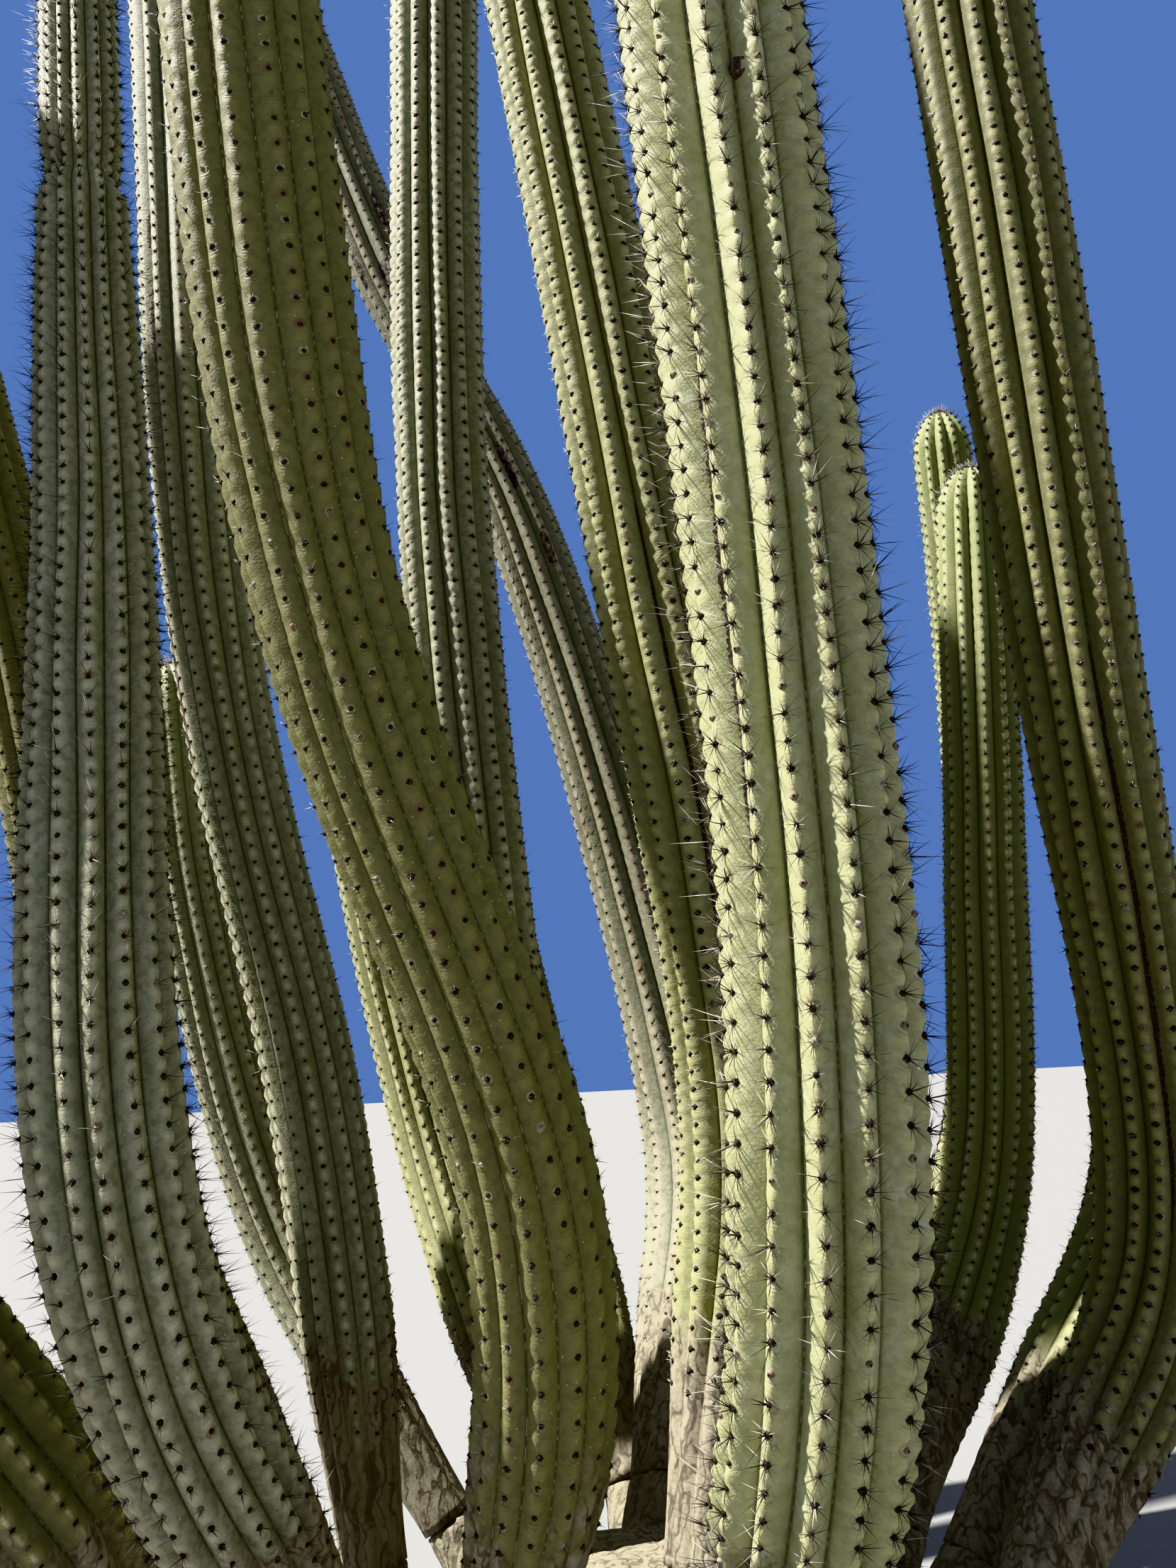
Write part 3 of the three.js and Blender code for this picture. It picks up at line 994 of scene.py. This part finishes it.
# how far from the middle of a cushion each mark lies, in metres over the skin
halfRib = 0.0195  # from a crest to a groove
beatLength = 0.025  # from one cushion to the next
cushionMarks = {
    # the painted highlight along the crest fades out near each cushion
    "clear": (0.0045, 0.0075),  # the crest line fades out here
    # the creases below carry painted shade as well as relief
    "firstCrease": (0.0070, 0.0010),  # how far out, and how wide
    "secondCrease": (0.0100, 0.0009),
    "creaseBelow": (-0.0012, -0.0038),
    "creaseSide": (0.0098, 0.0055),
    "ring": (0.0036, 0.0046, 0.0054, 0.0072),  # from no ring to a full one and back to none
    "rim": (0.0047, 0.0010),
    "ripples": (0.004, 0.006, 0.008, 0.012),
    "rippleRate": 2600.0,
}

# scale, detail, roughness and distortion of each pattern
skinPatterns = {
    "film": (26.0, 5.0, 0.68, 0.8),
    "mottle": (105.0, 3.0, 0.62),
    "wrinkle": (1.6, 3.0),
    "dashes": (1.9, 1.0),
    "scar": (21.0, 5.0, 0.62),
    "crust": (75.0, 4.0, 0.7),
    "grain": (420.0, 1.0),
}

# the values at which an effect starts and at which it is whole; the ones with Rib in their
# names go by the place on the rib, from 0 in the groove to 1 on the crest
skinSteps = {
    # painted shade towards the groove
    "grooveShadeRib": (0.0, 0.15),
    "film": (0.47, 0.62),
    "filmRib": (0.03, 0.20),
    "mottle": (0.54, 0.40),
    "crestRib": (0.42, 0.96),
    # painted highlight along the crest
    "crestHighlightRib": (0.86, 0.97),
    "wrinkle": (0.56, 0.40),
    "wrinkleRib": (0.30, 0.80),
    # painted shade line in the groove
    "grooveShadeLineRib": (0.062, 0.022),
    "dustRib": (0.040, 0.014),
    "dust": (0.50, 0.56),
    "scar": (0.585, 0.65),
    "scarRib": (0.55, 0.95),
    "rust": (0.40, 0.75),
    "rustRib": (0.62, 0.92),
    "speck": (0.35, 0.75),
    "wound": (0.40, 0.50),
    "woundReach": (0.02, 0.15),
    "crust": (0.42, 0.66),
    "bark": (0.35, 0.75),
}

# what a value from 0 to 1 is multiplied by, and what is then added
skinSpreads = {
    "filmBlotch": (0.75, 0.25),
    "crestHump": (0.62, 0.16),
    "crestFine": (0.45, 0.70),
    "crestHighlightFine": (0.6, 0.5),
    "ringFine": (0.6, 0.2),
    "woundEdge": (1.5, -0.75),
    "barkEdge": (0.7, -0.35),
    "rough": (0.14, 0.54),
}

# how strong an effect is, or the share of cushions, ribs or specks that have it
skinShares = {
    "blotch": 0.16,
    "wrinkle": 0.16,
    "secondCrease": 0.6,
    "creased": 0.25,  # cushions with a luck above this have creases
    "rimmed": 0.72,  # and above this a pale rim
    "rim": 0.7,
    "rusty": 0.34,  # ribs with a luck below this have rusty stretches
    "specks": 0.05,
    "speck": 0.75,
    "freshTip": 0.35,
    "barkRough": 0.35,
}

# how strong each part of the relief is
skinRelief = {
    "distance": 0.0017,
    "strength": 0.6,
    "grain": 0.22,
    "wrinkle": 0.22,
    "mottle": 0.35,
    "ripple": 0.022,
    "crease": -0.16,
    "crust": 1.8,
}


def skinMaterial(name, look):
    material, nodes, shader = newMaterial(name, 0.5, 0.3)
    calc, times, blend = nodes.calc, nodes.times, nodes.mix
    where = nodes.where()

    def attribute(key):
        return nodes.add("Attribute", attribute_name=key).outputs["Fac"]

    def pattern(vector, key):
        return nodes.noise(vector, *skinPatterns[key])

    def step(value, key):
        return nodes.step(value, *skinSteps[key])

    def spread(value, key):
        return calc("MULTIPLY_ADD", value, *skinSpreads[key])

    def near(key):
        # two masks: 0 inside a ring round the cushion, and 0 beyond it
        inner, full, fading, outer = cushionMarks[key]
        return nodes.step(away, inner, full), nodes.step(away, outer, fading)

    def line(key):
        # 1 on a line round the cushion, and 0 beyond its width
        middle, width = cushionMarks[key]
        return nodes.step(calc("ABSOLUTE", calc("SUBTRACT", away, middle)), width, 0.0002)

    def chanceAt(x, y):
        spot = nodes.add("CombineXYZ", {"X": x, "Y": y}).outputs[0]
        return nodes.add("TexWhiteNoise", {"Vector": spot}).outputs["Value"]

    def paint(colour, share, key):
        return blend(share, colour, markColours[key])

    rib, beat, number = attribute("rib"), attribute("beat"), attribute("ribNumber")
    bark, tip = attribute("bark"), attribute("tip")
    blotch = nodes.place(patches, Vector=where, Scale=7.0)["Mask"]
    fine = nodes.place(patches, Vector=where, Scale=48.0)["Mask"]

    # where each point lies around its nearest cushion, and the luck of that cushion and rib
    cell = calc("FLOOR", calc("ADD", beat, 0.5))
    above = times(calc("SUBTRACT", beat, cell), beatLength)
    aside = times(calc("SUBTRACT", 1.0, rib), halfRib)
    away = calc("SQRT", calc("ADD", times(above, above), times(aside, aside)))
    chance = chanceAt(cell, number)
    ribChance = chanceAt(number, 7.3)
    hump = calc("MULTIPLY_ADD", calc("COSINE", times(beat, 2 * math.pi)), -0.5, 0.5)

    # green flanks with painted shade darkening them towards the groove, and a pale waxy film here
    # and there
    colour = blend(step(rib, "grooveShadeRib"), look["shadeAndDull"], look["flank"])
    wax = times(step(pattern(where, "film"), "film"), look["wax"], spread(blotch, "filmBlotch"),
                step(rib, "filmRib"))
    colour = blend(wax, colour, look["bloom"])
    colour = blend(times(blotch, skinShares["blotch"]), colour, look["bloom"])

    # small dull blotches all over
    mottle = pattern(where, "mottle")
    colour = blend(times(step(mottle, "mottle"), look["mottle"]), colour, look["shadeAndDull"])

    # the crest is paler on its swellings, partly as a paler tone and partly as painted highlight,
    # with a painted highlight line along it between the cushions
    pale = times(step(rib, "crestRib"), spread(hump, "crestHump"), spread(fine, "crestFine"))
    colour = blend(pale, colour, look["crest"])
    paintedHighlight = times(step(rib, "crestHighlightRib"), nodes.step(away, *cushionMarks["clear"]),
                   spread(fine, "crestHighlightFine"), look["line"])
    colour = paint(colour, paintedHighlight, "crestHighlight")

    # faint wrinkles run round each cushion and across the flanks
    streak = nodes.add("CombineXYZ", {"X": times(beat, 5.0), "Y": times(rib, 1.6), "Z": number})
    wrinkle = pattern(streak.outputs[0], "wrinkle")
    wrinkled = times(step(wrinkle, "wrinkle"), step(rib, "wrinkleRib"), skinShares["wrinkle"])
    colour = blend(wrinkled, colour, look["shadeAndDull"])

    # curved creases under the cushions, in relief and darkened with painted shade
    arcs = calc("ADD", line("firstCrease"),
                times(line("secondCrease"), skinShares["secondCrease"]))
    crease = times(arcs, nodes.step(above, *cushionMarks["creaseBelow"]),
                   nodes.step(aside, *cushionMarks["creaseSide"]),
                   calc("GREATER_THAN", chance, skinShares["creased"]))
    colour = blend(times(crease, look["crease"]), colour, look["shadeAndDull"])

    # a thin dark line of painted shade lies along each groove, with pale dust in dashes along
    # parts of it
    dash = nodes.add("CombineXYZ", {"X": times(beat, 1.7), "Y": calc("ROUND", number)})
    dashes = pattern(dash.outputs[0], "dashes")
    colour = paint(colour, times(step(rib, "grooveShadeLineRib"), look["grooveShadeLine"]), "grooveShadeLine")
    dusty = times(step(rib, "dustRib"), step(dashes, "dust"))
    colour = paint(colour, times(dusty, look["dashes"]), "dust")

    # brown rings and pale rims around some cushions
    ringed = calc("LESS_THAN", chance, look["ring"])
    colour = paint(colour, times(*near("ring"), ringed, spread(fine, "ringFine")), "ring")
    rimmed = calc("GREATER_THAN", chance, skinShares["rimmed"])
    colour = paint(colour, times(line("rim"), rimmed, fine, skinShares["rim"]), "rim")

    # brown scars on the crests, rusty stretches on some ribs and pale specks
    scar = times(step(pattern(where, "scar"), "scar"), step(rib, "scarRib"), look["scar"])
    colour = paint(colour, scar, "scar")
    rust = times(calc("LESS_THAN", ribChance, skinShares["rusty"]), step(blotch, "rust"),
                 step(rib, "rustRib"), fine, look["rust"])
    colour = paint(colour, rust, "rust")
    dots = nodes.place(specks, Vector=where, Scale=330.0, Amount=skinShares["specks"])["Mask"]
    colour = paint(colour, times(dots, step(blotch, "speck"), skinShares["speck"]), "speck")

    # corky wounds, with ragged edges
    if look["wounds"]:
        wound = attribute("wound")
        crust = pattern(where, "crust")
        torn = calc("ADD", wound, spread(crust, "woundEdge"))
        torn = times(step(torn, "wound"), step(wound, "woundReach"))
        crustColour = blend(step(crust, "crust"), markColours["woundDark"],
                            markColours["woundLight"])
        colour = blend(torn, colour, crustColour)

    # the tip is fresher, the foot turns to bark
    colour = paint(colour, times(tip, skinShares["freshTip"]), "freshTip")
    corky = nodes.place(cork, Vector=where, Scale=34.0)
    barky = step(calc("ADD", bark, spread(blotch, "barkEdge")), "bark")
    nodes.link(blend(barky, colour, corky["Color"]), shader["Base Color"])

    matt = calc("MAXIMUM", barky, torn) if look["wounds"] else barky
    rough = calc("ADD", spread(fine, "rough"), times(matt, skinShares["barkRough"]), clamp=True)
    nodes.link(rough, shader["Roughness"])

    # relief: fine grain, wrinkles, blotches, and ripples and creases around the cushions
    waves = calc("SINE", times(away, cushionMarks["rippleRate"]))
    parts = {"wrinkle": wrinkle, "mottle": mottle, "ripple": times(waves, *near("ripples")),
             "crease": crease}
    height = times(pattern(where, "grain"), skinRelief["grain"])
    for key, value in parts.items():
        height = calc("ADD", height, times(value, skinRelief[key]))
    if look["wounds"]:
        height = nodes.mixValue(torn, height, times(crust, skinRelief["crust"]))
    height = nodes.mixValue(step(bark, "bark"), height, corky["Height"])
    nodes.bump(height, skinRelief["distance"], skinRelief["strength"], shader)
    return material


# dark and light are the colours of the patches; specks: share of small pale specks
usualPlain = {"roughness": 0.95, "specular": 0.3, "scale": 300.0, "specks": None}
plainLooks = {
    # the dark felt is near black, partly its own colour and partly painted shade, as it is drawn
    # large enough to take in the shade around each cushion
    "felt_dark": {"dark": (0.010, 0.009, 0.008), "light": (0.045, 0.036, 0.029)},
    "felt_brown": {"dark": (0.100, 0.078, 0.058), "light": (0.240, 0.198, 0.152)},
    "felt_grey": {"dark": (0.13, 0.115, 0.095), "light": (0.34, 0.32, 0.27)},
    "spine_dark": {"dark": (0.018, 0.014, 0.013), "light": (0.066, 0.055, 0.049),
                   "roughness": 0.5},
    "spine_pale": {"dark": (0.24, 0.22, 0.185), "light": (0.50, 0.475, 0.41),
                   "roughness": 0.5},
    "seam_cork": {"dark": (0.008, 0.006, 0.005), "light": (0.050, 0.038, 0.031),
                  "specular": 0.2, "scale": 160.0, "specks": 0.24},
    "gall_cork": {"dark": (0.016, 0.012, 0.011), "light": (0.125, 0.100, 0.086),
                  "specular": 0.2, "scale": 160.0, "specks": 0.42},
}
speckColour = (0.33, 0.30, 0.26)


def plainMaterial(name, look):
    look = {**usualPlain, **look}
    material, nodes, shader = newMaterial(name, look["roughness"], look["specular"])
    where = nodes.where()
    blotch = nodes.place(patches, Vector=where, Scale=look["scale"])["Mask"]
    colour = nodes.mix(blotch, look["dark"], look["light"])
    if look["specks"] is not None:
        dots = nodes.place(specks, Vector=where, Scale=380.0, Amount=look["specks"])["Mask"]
        colour = nodes.mix(dots, colour, speckColour)
    nodes.link(colour, shader["Base Color"])
    return material


barkLook = {
    "corkScale": 30.0,
    "lichenScale": 6.0,
    "lichenShare": 0.35,
    "lichenColour": (0.21, 0.20, 0.125),
    "depth": 0.005,
    "strength": 0.8,
}


def barkMaterial():
    material, nodes, shader = newMaterial("trunkBark", 0.85, 0.25)
    where = nodes.where()
    corky = nodes.place(cork, Vector=where, Scale=barkLook["corkScale"])
    lichen = nodes.place(patches, Vector=where, Scale=barkLook["lichenScale"])["Mask"]
    lichen = nodes.times(lichen, barkLook["lichenShare"])
    colour = nodes.mix(lichen, corky["Color"], barkLook["lichenColour"])
    nodes.link(colour, shader["Base Color"])
    nodes.bump(corky["Height"], barkLook["depth"], barkLook["strength"], shader)
    return material


skins = {key: skinMaterial("skin_" + key, look) for key, look in skinLooks.items()}
plain = {key: plainMaterial(key, look) for key, look in plainLooks.items()}
trunkBark = barkMaterial()
print("materials made")


# stems

def giveMaterial(piece, material):
    piece.data.materials.append(material)
    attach(piece, "root")


def growFelt(name, stem, armed, rng, places, normals, ups):
    level = detailLevels[stem["detail"]]
    sizes = stem["felt"] * rng.uniform(*feltForm["sizes"], len(places))
    shade = rng.random(len(places))
    brown = ~armed & (shade < spineHabits[stem["spines"]]["worn"])
    grey = ~brown & (shade > 1 - feltForm["grey"])
    whole = np.nonzero(~brown & ~grey)[0]
    # a worn cushion keeps a small dark heart
    dark = np.concatenate([whole, np.nonzero(brown)[0]])
    darkSizes = sizes[dark] * np.where(brown[dark], feltForm["heart"], 1.0)
    raised = places + normals * (feltForm["heartLift"] * brown)[:, None]
    for label, bed, picked, wide in (("felt_dark", raised, dark, darkSizes),
                                     ("felt_brown", places, brown, sizes[brown]),
                                     ("felt_grey", places, grey, sizes[grey])):
        felt = feltCushions(name + "_" + label, bed[picked], normals[picked], ups[picked],
                            wide, level["feltSides"], level["feltRings"])
        giveMaterial(felt, plain[label])


def growSpines(name, stem, armed, atTip, rng, places, normals, ups):
    habit = spineHabits[stem["spines"]]
    owners, ways, lengths, stouts = spineDirections(rng, habit, normals, ups, armed, atTip)
    roots = places[owners] + normals[owners] * spineForm["rootLift"]
    # the spines of one cushion are mostly of one colour
    lean = rng.uniform(0, 2, len(places))[owners]
    pale = rng.random(len(owners)) < habit["pale"] * lean
    thick = habit["thickness"] * np.where(stouts, spineForm["stout"], spineForm["slender"])
    for shade, picked in (("dark", ~pale), ("pale", pale)):
        needles = spikes(name + "_spines_" + shade, roots[picked], ways[picked],
                         lengths[picked], thick[picked])
        giveMaterial(needles, plain["spine_" + shade])


def buildStem(name, stem):
    skin = StemSkin(name, stem)
    slot = "young_skin" if "young" in name else "skin"
    piece = skin.mesh(name + "_skin")
    giveMaterial(piece, skins[stem["skin"]])
    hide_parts(name)

    rng = skin.rng
    places, normals, ups, distances = skin.areoles()
    below = skin.line.length - distances
    bare = spineHabits[stem["spines"]]["bare"] * ease(below, *spineForm["bareFrom"])
    armed = rng.random(len(places)) > bare
    growFelt(name, stem, armed, rng, places, normals, ups)
    atTip = below < tipBristles["reach"]
    growSpines(name, stem, armed, atTip, rng, places, normals, ups)
    return skin


stemSkins = {}
for stemName, stemValues in stems.items():
    stemSkins[stemName] = buildStem(stemName, stemValues)
    print(stemName, "grown")


# cork seams: cracks that healed over along a groove

# rib and at: the rib and the place across it, where -1 and 1 are its grooves
seams = [
    {"name": "seam_front", "stem": "stem_front", "rib": -1, "at": -0.95,
     "from": 0.80, "to": 1.37, "width": 0.0100},
    {"name": "seam_middle", "stem": "stem_middle", "rib": -1, "at": 0.97,
     "from": 0.70, "to": 1.32, "width": 0.0060},
    {"name": "seam_tallest", "stem": "stem_tallest", "rib": -1, "at": -0.97,
     "from": 1.66, "to": 2.02, "width": 0.0040},
    {"name": "seam_right_front", "stem": "stem_right_front", "rib": 0, "at": 0.95,
     "from": 0.50, "to": 1.27, "width": 0.0090},
    {"name": "seam_right_front_low", "stem": "stem_right_front", "rib": -3, "at": -0.96,
     "from": 0.55, "to": 1.28, "width": 0.0064},
]

seamForm = {
    "step": 0.0022,
    "swayStep": 0.05,
    "sway": 0.035,  # as a share of half a rib
    "blunt": 0.35,  # below 1 the ends are blunter
    "offsets": (-1.0, -0.55, 0.0, 0.55, 1.0),  # from one edge to the other
    "heights": (-0.0004, 0.0016, 0.0019, 0.0016, -0.0004),
    "widths": (0.72, 1.28),  # narrowest and widest, as a share of the usual
    "rough": 0.0008,
}


def corkSeam(seam):
    skin = stemSkins[seam["stem"]]
    ribs = skin.stem["ribs"]
    rng = np.random.default_rng(len(seam["name"]) * 7)
    count = int((seam["to"] - seam["from"]) / seamForm["step"])
    distance = np.linspace(seam["from"], seam["to"], count)
    u = np.interp(distance, skin.distances, skin.rings)
    sway = smoothRandom(rng, 2.0, seamForm["swayStep"], distance - seam["from"])
    middle = seam["at"] + sway * seamForm["sway"]
    rib = np.full(count, seam["rib"] % ribs)
    ends = np.sin(np.pi * np.linspace(0.02, 0.98, count)) ** seamForm["blunt"]
    half = skin.stem["low"] * math.pi / ribs / 2
    rows = []
    for offset, height in zip(seamForm["offsets"], seamForm["heights"]):
        widen = seam["width"] / 2 / half * ends * rng.uniform(*seamForm["widths"], count)
        w = middle + offset * widen
        ribHere = np.where(w > 1, rib + 1, np.where(w < -1, rib - 1, rib)) % ribs
        w = np.where(w > 1, w - 2, np.where(w < -1, w + 2, w))
        points, _, (out, _, _, _) = skin.surface(u, ribHere, w)
        rough = rng.uniform(-seamForm["rough"], seamForm["rough"], count) * (abs(offset) < 1)
        rows.append(points + out * (height + rough)[:, None])
    points = np.stack(rows, 1).reshape(-1, 3)
    piece = addMesh(seam["name"], points, [gridFaces(count, len(rows), closed=False)])
    giveMaterial(piece, plain["seam_cork"])


for seam in seams:
    corkSeam(seam)
print("cork seams laid")


# galls: round scabs with a rim and a hollow middle

def roundGall(stemName, gall):
    skin = stemSkins[stemName]
    rng = np.random.default_rng(11)
    rib = int(round(gall["rib"]))
    u = np.interp(gall["at"], skin.distances, skin.rings)
    centre, _, (out, ahead, _, _) = skin.surface(
        np.array([u]), np.array([rib]), np.array([2 * (gall["rib"] - rib)]))
    sides, uneven = gallForm["sides"], gallForm["uneven"]
    around = circle(sides, np.cross(ahead, out), ahead)[0]
    edge = gall["radius"] * (1 + rng.uniform(-uneven, uneven, sides))[:, None]
    rings = []
    for share, height in gallForm["rings"]:
        level = height + rng.uniform(-1, 1, sides)[:, None] * gallForm["rough"]
        rings.append(centre + around * edge * share + out * level)
    points = np.concatenate(rings + [centre + out * gallForm["middle"]])
    last = (len(rings) - 1) * sides
    faces = [gridFaces(len(rings), sides), fan(last, sides, last + sides), lowerFace(sides)]
    piece = addMesh(stemName + "_gall", points, faces)
    giveMaterial(piece, plain["gall_cork"])


for stemName, stemValues in stems.items():
    for gall in stemValues["galls"]:
        roundGall(stemName, gall)
print("galls laid")


# trunk

trunkForm = {
    "height": 0.310,
    "radius": 0.265,
    "flare": 0.335,
    "sides": 48,
    "lobes": 7,
    "lobeDepth": 0.07,
    "lobeTurn": 0.6,
    "oval": 0.08,  # how much further the trunk reaches to one side
    "ovalTurn": 0.35,
    "limbStart": 0.45,  # how far out a limb starts, as a share of its end
    "limbStartHeight": 0.130,
    "limbReach": 0.150,
    "limbSwell": 1.3,
    "limbSides": 20,
    "limbRings": 14,
    "voxel": 0.0085,
}

barkForm = {
    "relief": 0.006,
    "lumpScale": (15, 15, 6),
    "lumpShare": 0.9,
    "crackScale": (46, 46, 14),
    "crackShare": 1.1,
    "crackWidth": 0.28,
    "seatReach": 0.09,  # the end of a limb is levelled this far from its middle
    "seatDrop": 0.0005,
    "level": 0.004,  # the cut at the ground is flat below this height
}


def trunkCore():
    height, radius, flare = trunkForm["height"], trunkForm["radius"], trunkForm["flare"]
    profile = [(flare, 0.0), (mix(flare, radius, 0.6), 0.14), (radius, 0.38),
               (0.95 * radius, 0.64), (0.76 * radius, 0.86), (0.4 * radius, 0.97)]
    sides = trunkForm["sides"]
    turns = np.arange(sides) * 2 * np.pi / sides
    lobes = np.cos(trunkForm["lobes"] * turns + trunkForm["lobeTurn"])
    oval = 1 + trunkForm["oval"] * np.cos(turns - trunkForm["ovalTurn"])
    rings = []
    for ringRadius, level in profile:
        reach = ringRadius * (1 + trunkForm["lobeDepth"] * (1 - level) * lobes) * oval
        rings.append(np.stack([reach * np.cos(turns), reach * np.sin(turns),
                               np.full(sides, level * height)], 1))
    points = np.concatenate(rings + [[[0, 0, 0]], [[0, 0, height]]])
    return points, closedRings(len(profile), sides)


def limbTube(stem):
    foot = np.array(stem["path"][0])
    _, ahead, _, _ = lineOf(stem).at(np.array(0.0))
    start = np.array([foot[0] * trunkForm["limbStart"], foot[1] * trunkForm["limbStart"],
                      trunkForm["limbStartHeight"]])
    before = foot - ahead * trunkForm["limbReach"]
    limb = Line(lambda t: start * (1 - t) ** 2 + before * 2 * t * (1 - t) + foot * t ** 2, 60)
    sides, rows = trunkForm["limbSides"], trunkForm["limbRings"]
    shares = np.linspace(0, 1, rows)
    radius = stem["low"] / 2 * stemForm["footShare"] * mix(trunkForm["limbSwell"], 1, shares)
    middle, _, across, along = limb.at(shares * limb.length)
    points = middle[:, None] + circle(sides, across, along) * radius[:, None, None]
    points = np.concatenate([points.reshape(-1, 3), [start], [foot]])
    return points, closedRings(rows, sides), (foot, ahead)


def fuse(piece):
    # One closed skin round all the overlapping shapes of a piece.
    remesh = piece.modifiers.new("fuse", "REMESH")
    remesh.mode = "VOXEL"
    remesh.voxel_size = trunkForm["voxel"]
    remesh.use_smooth_shade = True
    graph = bpy.context.evaluated_depsgraph_get()
    fused = bpy.data.meshes.new_from_object(piece.evaluated_get(graph))
    piece.modifiers.clear()
    old = piece.data
    piece.data = fused
    bpy.data.meshes.remove(old)


def readVectors(mesh, key):
    values = np.empty(len(mesh.vertices) * 3)
    mesh.vertices.foreach_get(key, values)
    return values.reshape(-1, 3)


def barkRelief(place):
    lump = noise.fractal(Vector(place * barkForm["lumpScale"]), 1.0, 2.0, 4)
    crack = noise.noise(Vector(place * barkForm["crackScale"]))
    cut = max(0.0, barkForm["crackWidth"] - abs(crack))
    return (barkForm["lumpShare"] * lump - barkForm["crackShare"] * cut) * barkForm["relief"]


def buildTrunk():
    allPoints, allFaces, seats = [], [], []
    count = 0
    for points, faces, *seat in [trunkCore()] + [limbTube(stem) for stem in stems.values()]:
        allPoints.append(points)
        allFaces += [block + count for block in faces]
        count += len(points)
        seats += seat
    piece = addMesh("trunk_bark", np.concatenate(allPoints), allFaces)
    fuse(piece)
    mesh = piece.data
    places, normals = readVectors(mesh, "co"), readVectors(mesh, "normal")
    moved = places + normals * np.array([barkRelief(place) for place in places])[:, None]
    drop = barkForm["seatDrop"]
    for foot, ahead in seats:
        near = np.linalg.norm(moved - foot, axis=1)
        over = np.sum((moved - foot) * ahead, axis=1)
        hold = (near < barkForm["seatReach"]) & (over > -drop)
        moved[hold] -= (over[hold] + drop)[:, None] * ahead
    atGround = places[:, 2] < barkForm["level"]
    moved[:, 2] = np.where(atGround, 0.0, np.maximum(moved[:, 2], 0.0))
    mesh.vertices.foreach_set("co", moved.ravel())
    mesh.polygons.foreach_set("use_smooth", np.ones(len(mesh.polygons), bool))
    mesh.update()
    giveMaterial(piece, trunkBark)
    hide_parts("trunk")


buildTrunk()
print("trunk made")


# floor

def makeFloor():
    half = lightSetup["floorSize"] / 2
    corners = np.array([(-half, -half, 0), (half, -half, 0), (half, half, 0), (-half, half, 0)])
    floor = addMesh("floor", corners, [np.array([[0, 1, 2, 3]])], smooth=False)
    material, _, shader = newMaterial("floor", 0.9, 0.2)
    shader["Base Color"].default_value = (*lightSetup["floorColour"], 1.0)
    floor.data.materials.append(material)


makeFloor()
bpy.context.scene.view_settings.view_transform = "Khronos PBR Neutral"

facets = sum(len(piece.data.loop_triangles) for piece in bpy.context.scene.objects
             if piece.type == "MESH" and not piece.data.calc_loop_triangles())
print("facets in the scene:", facets)
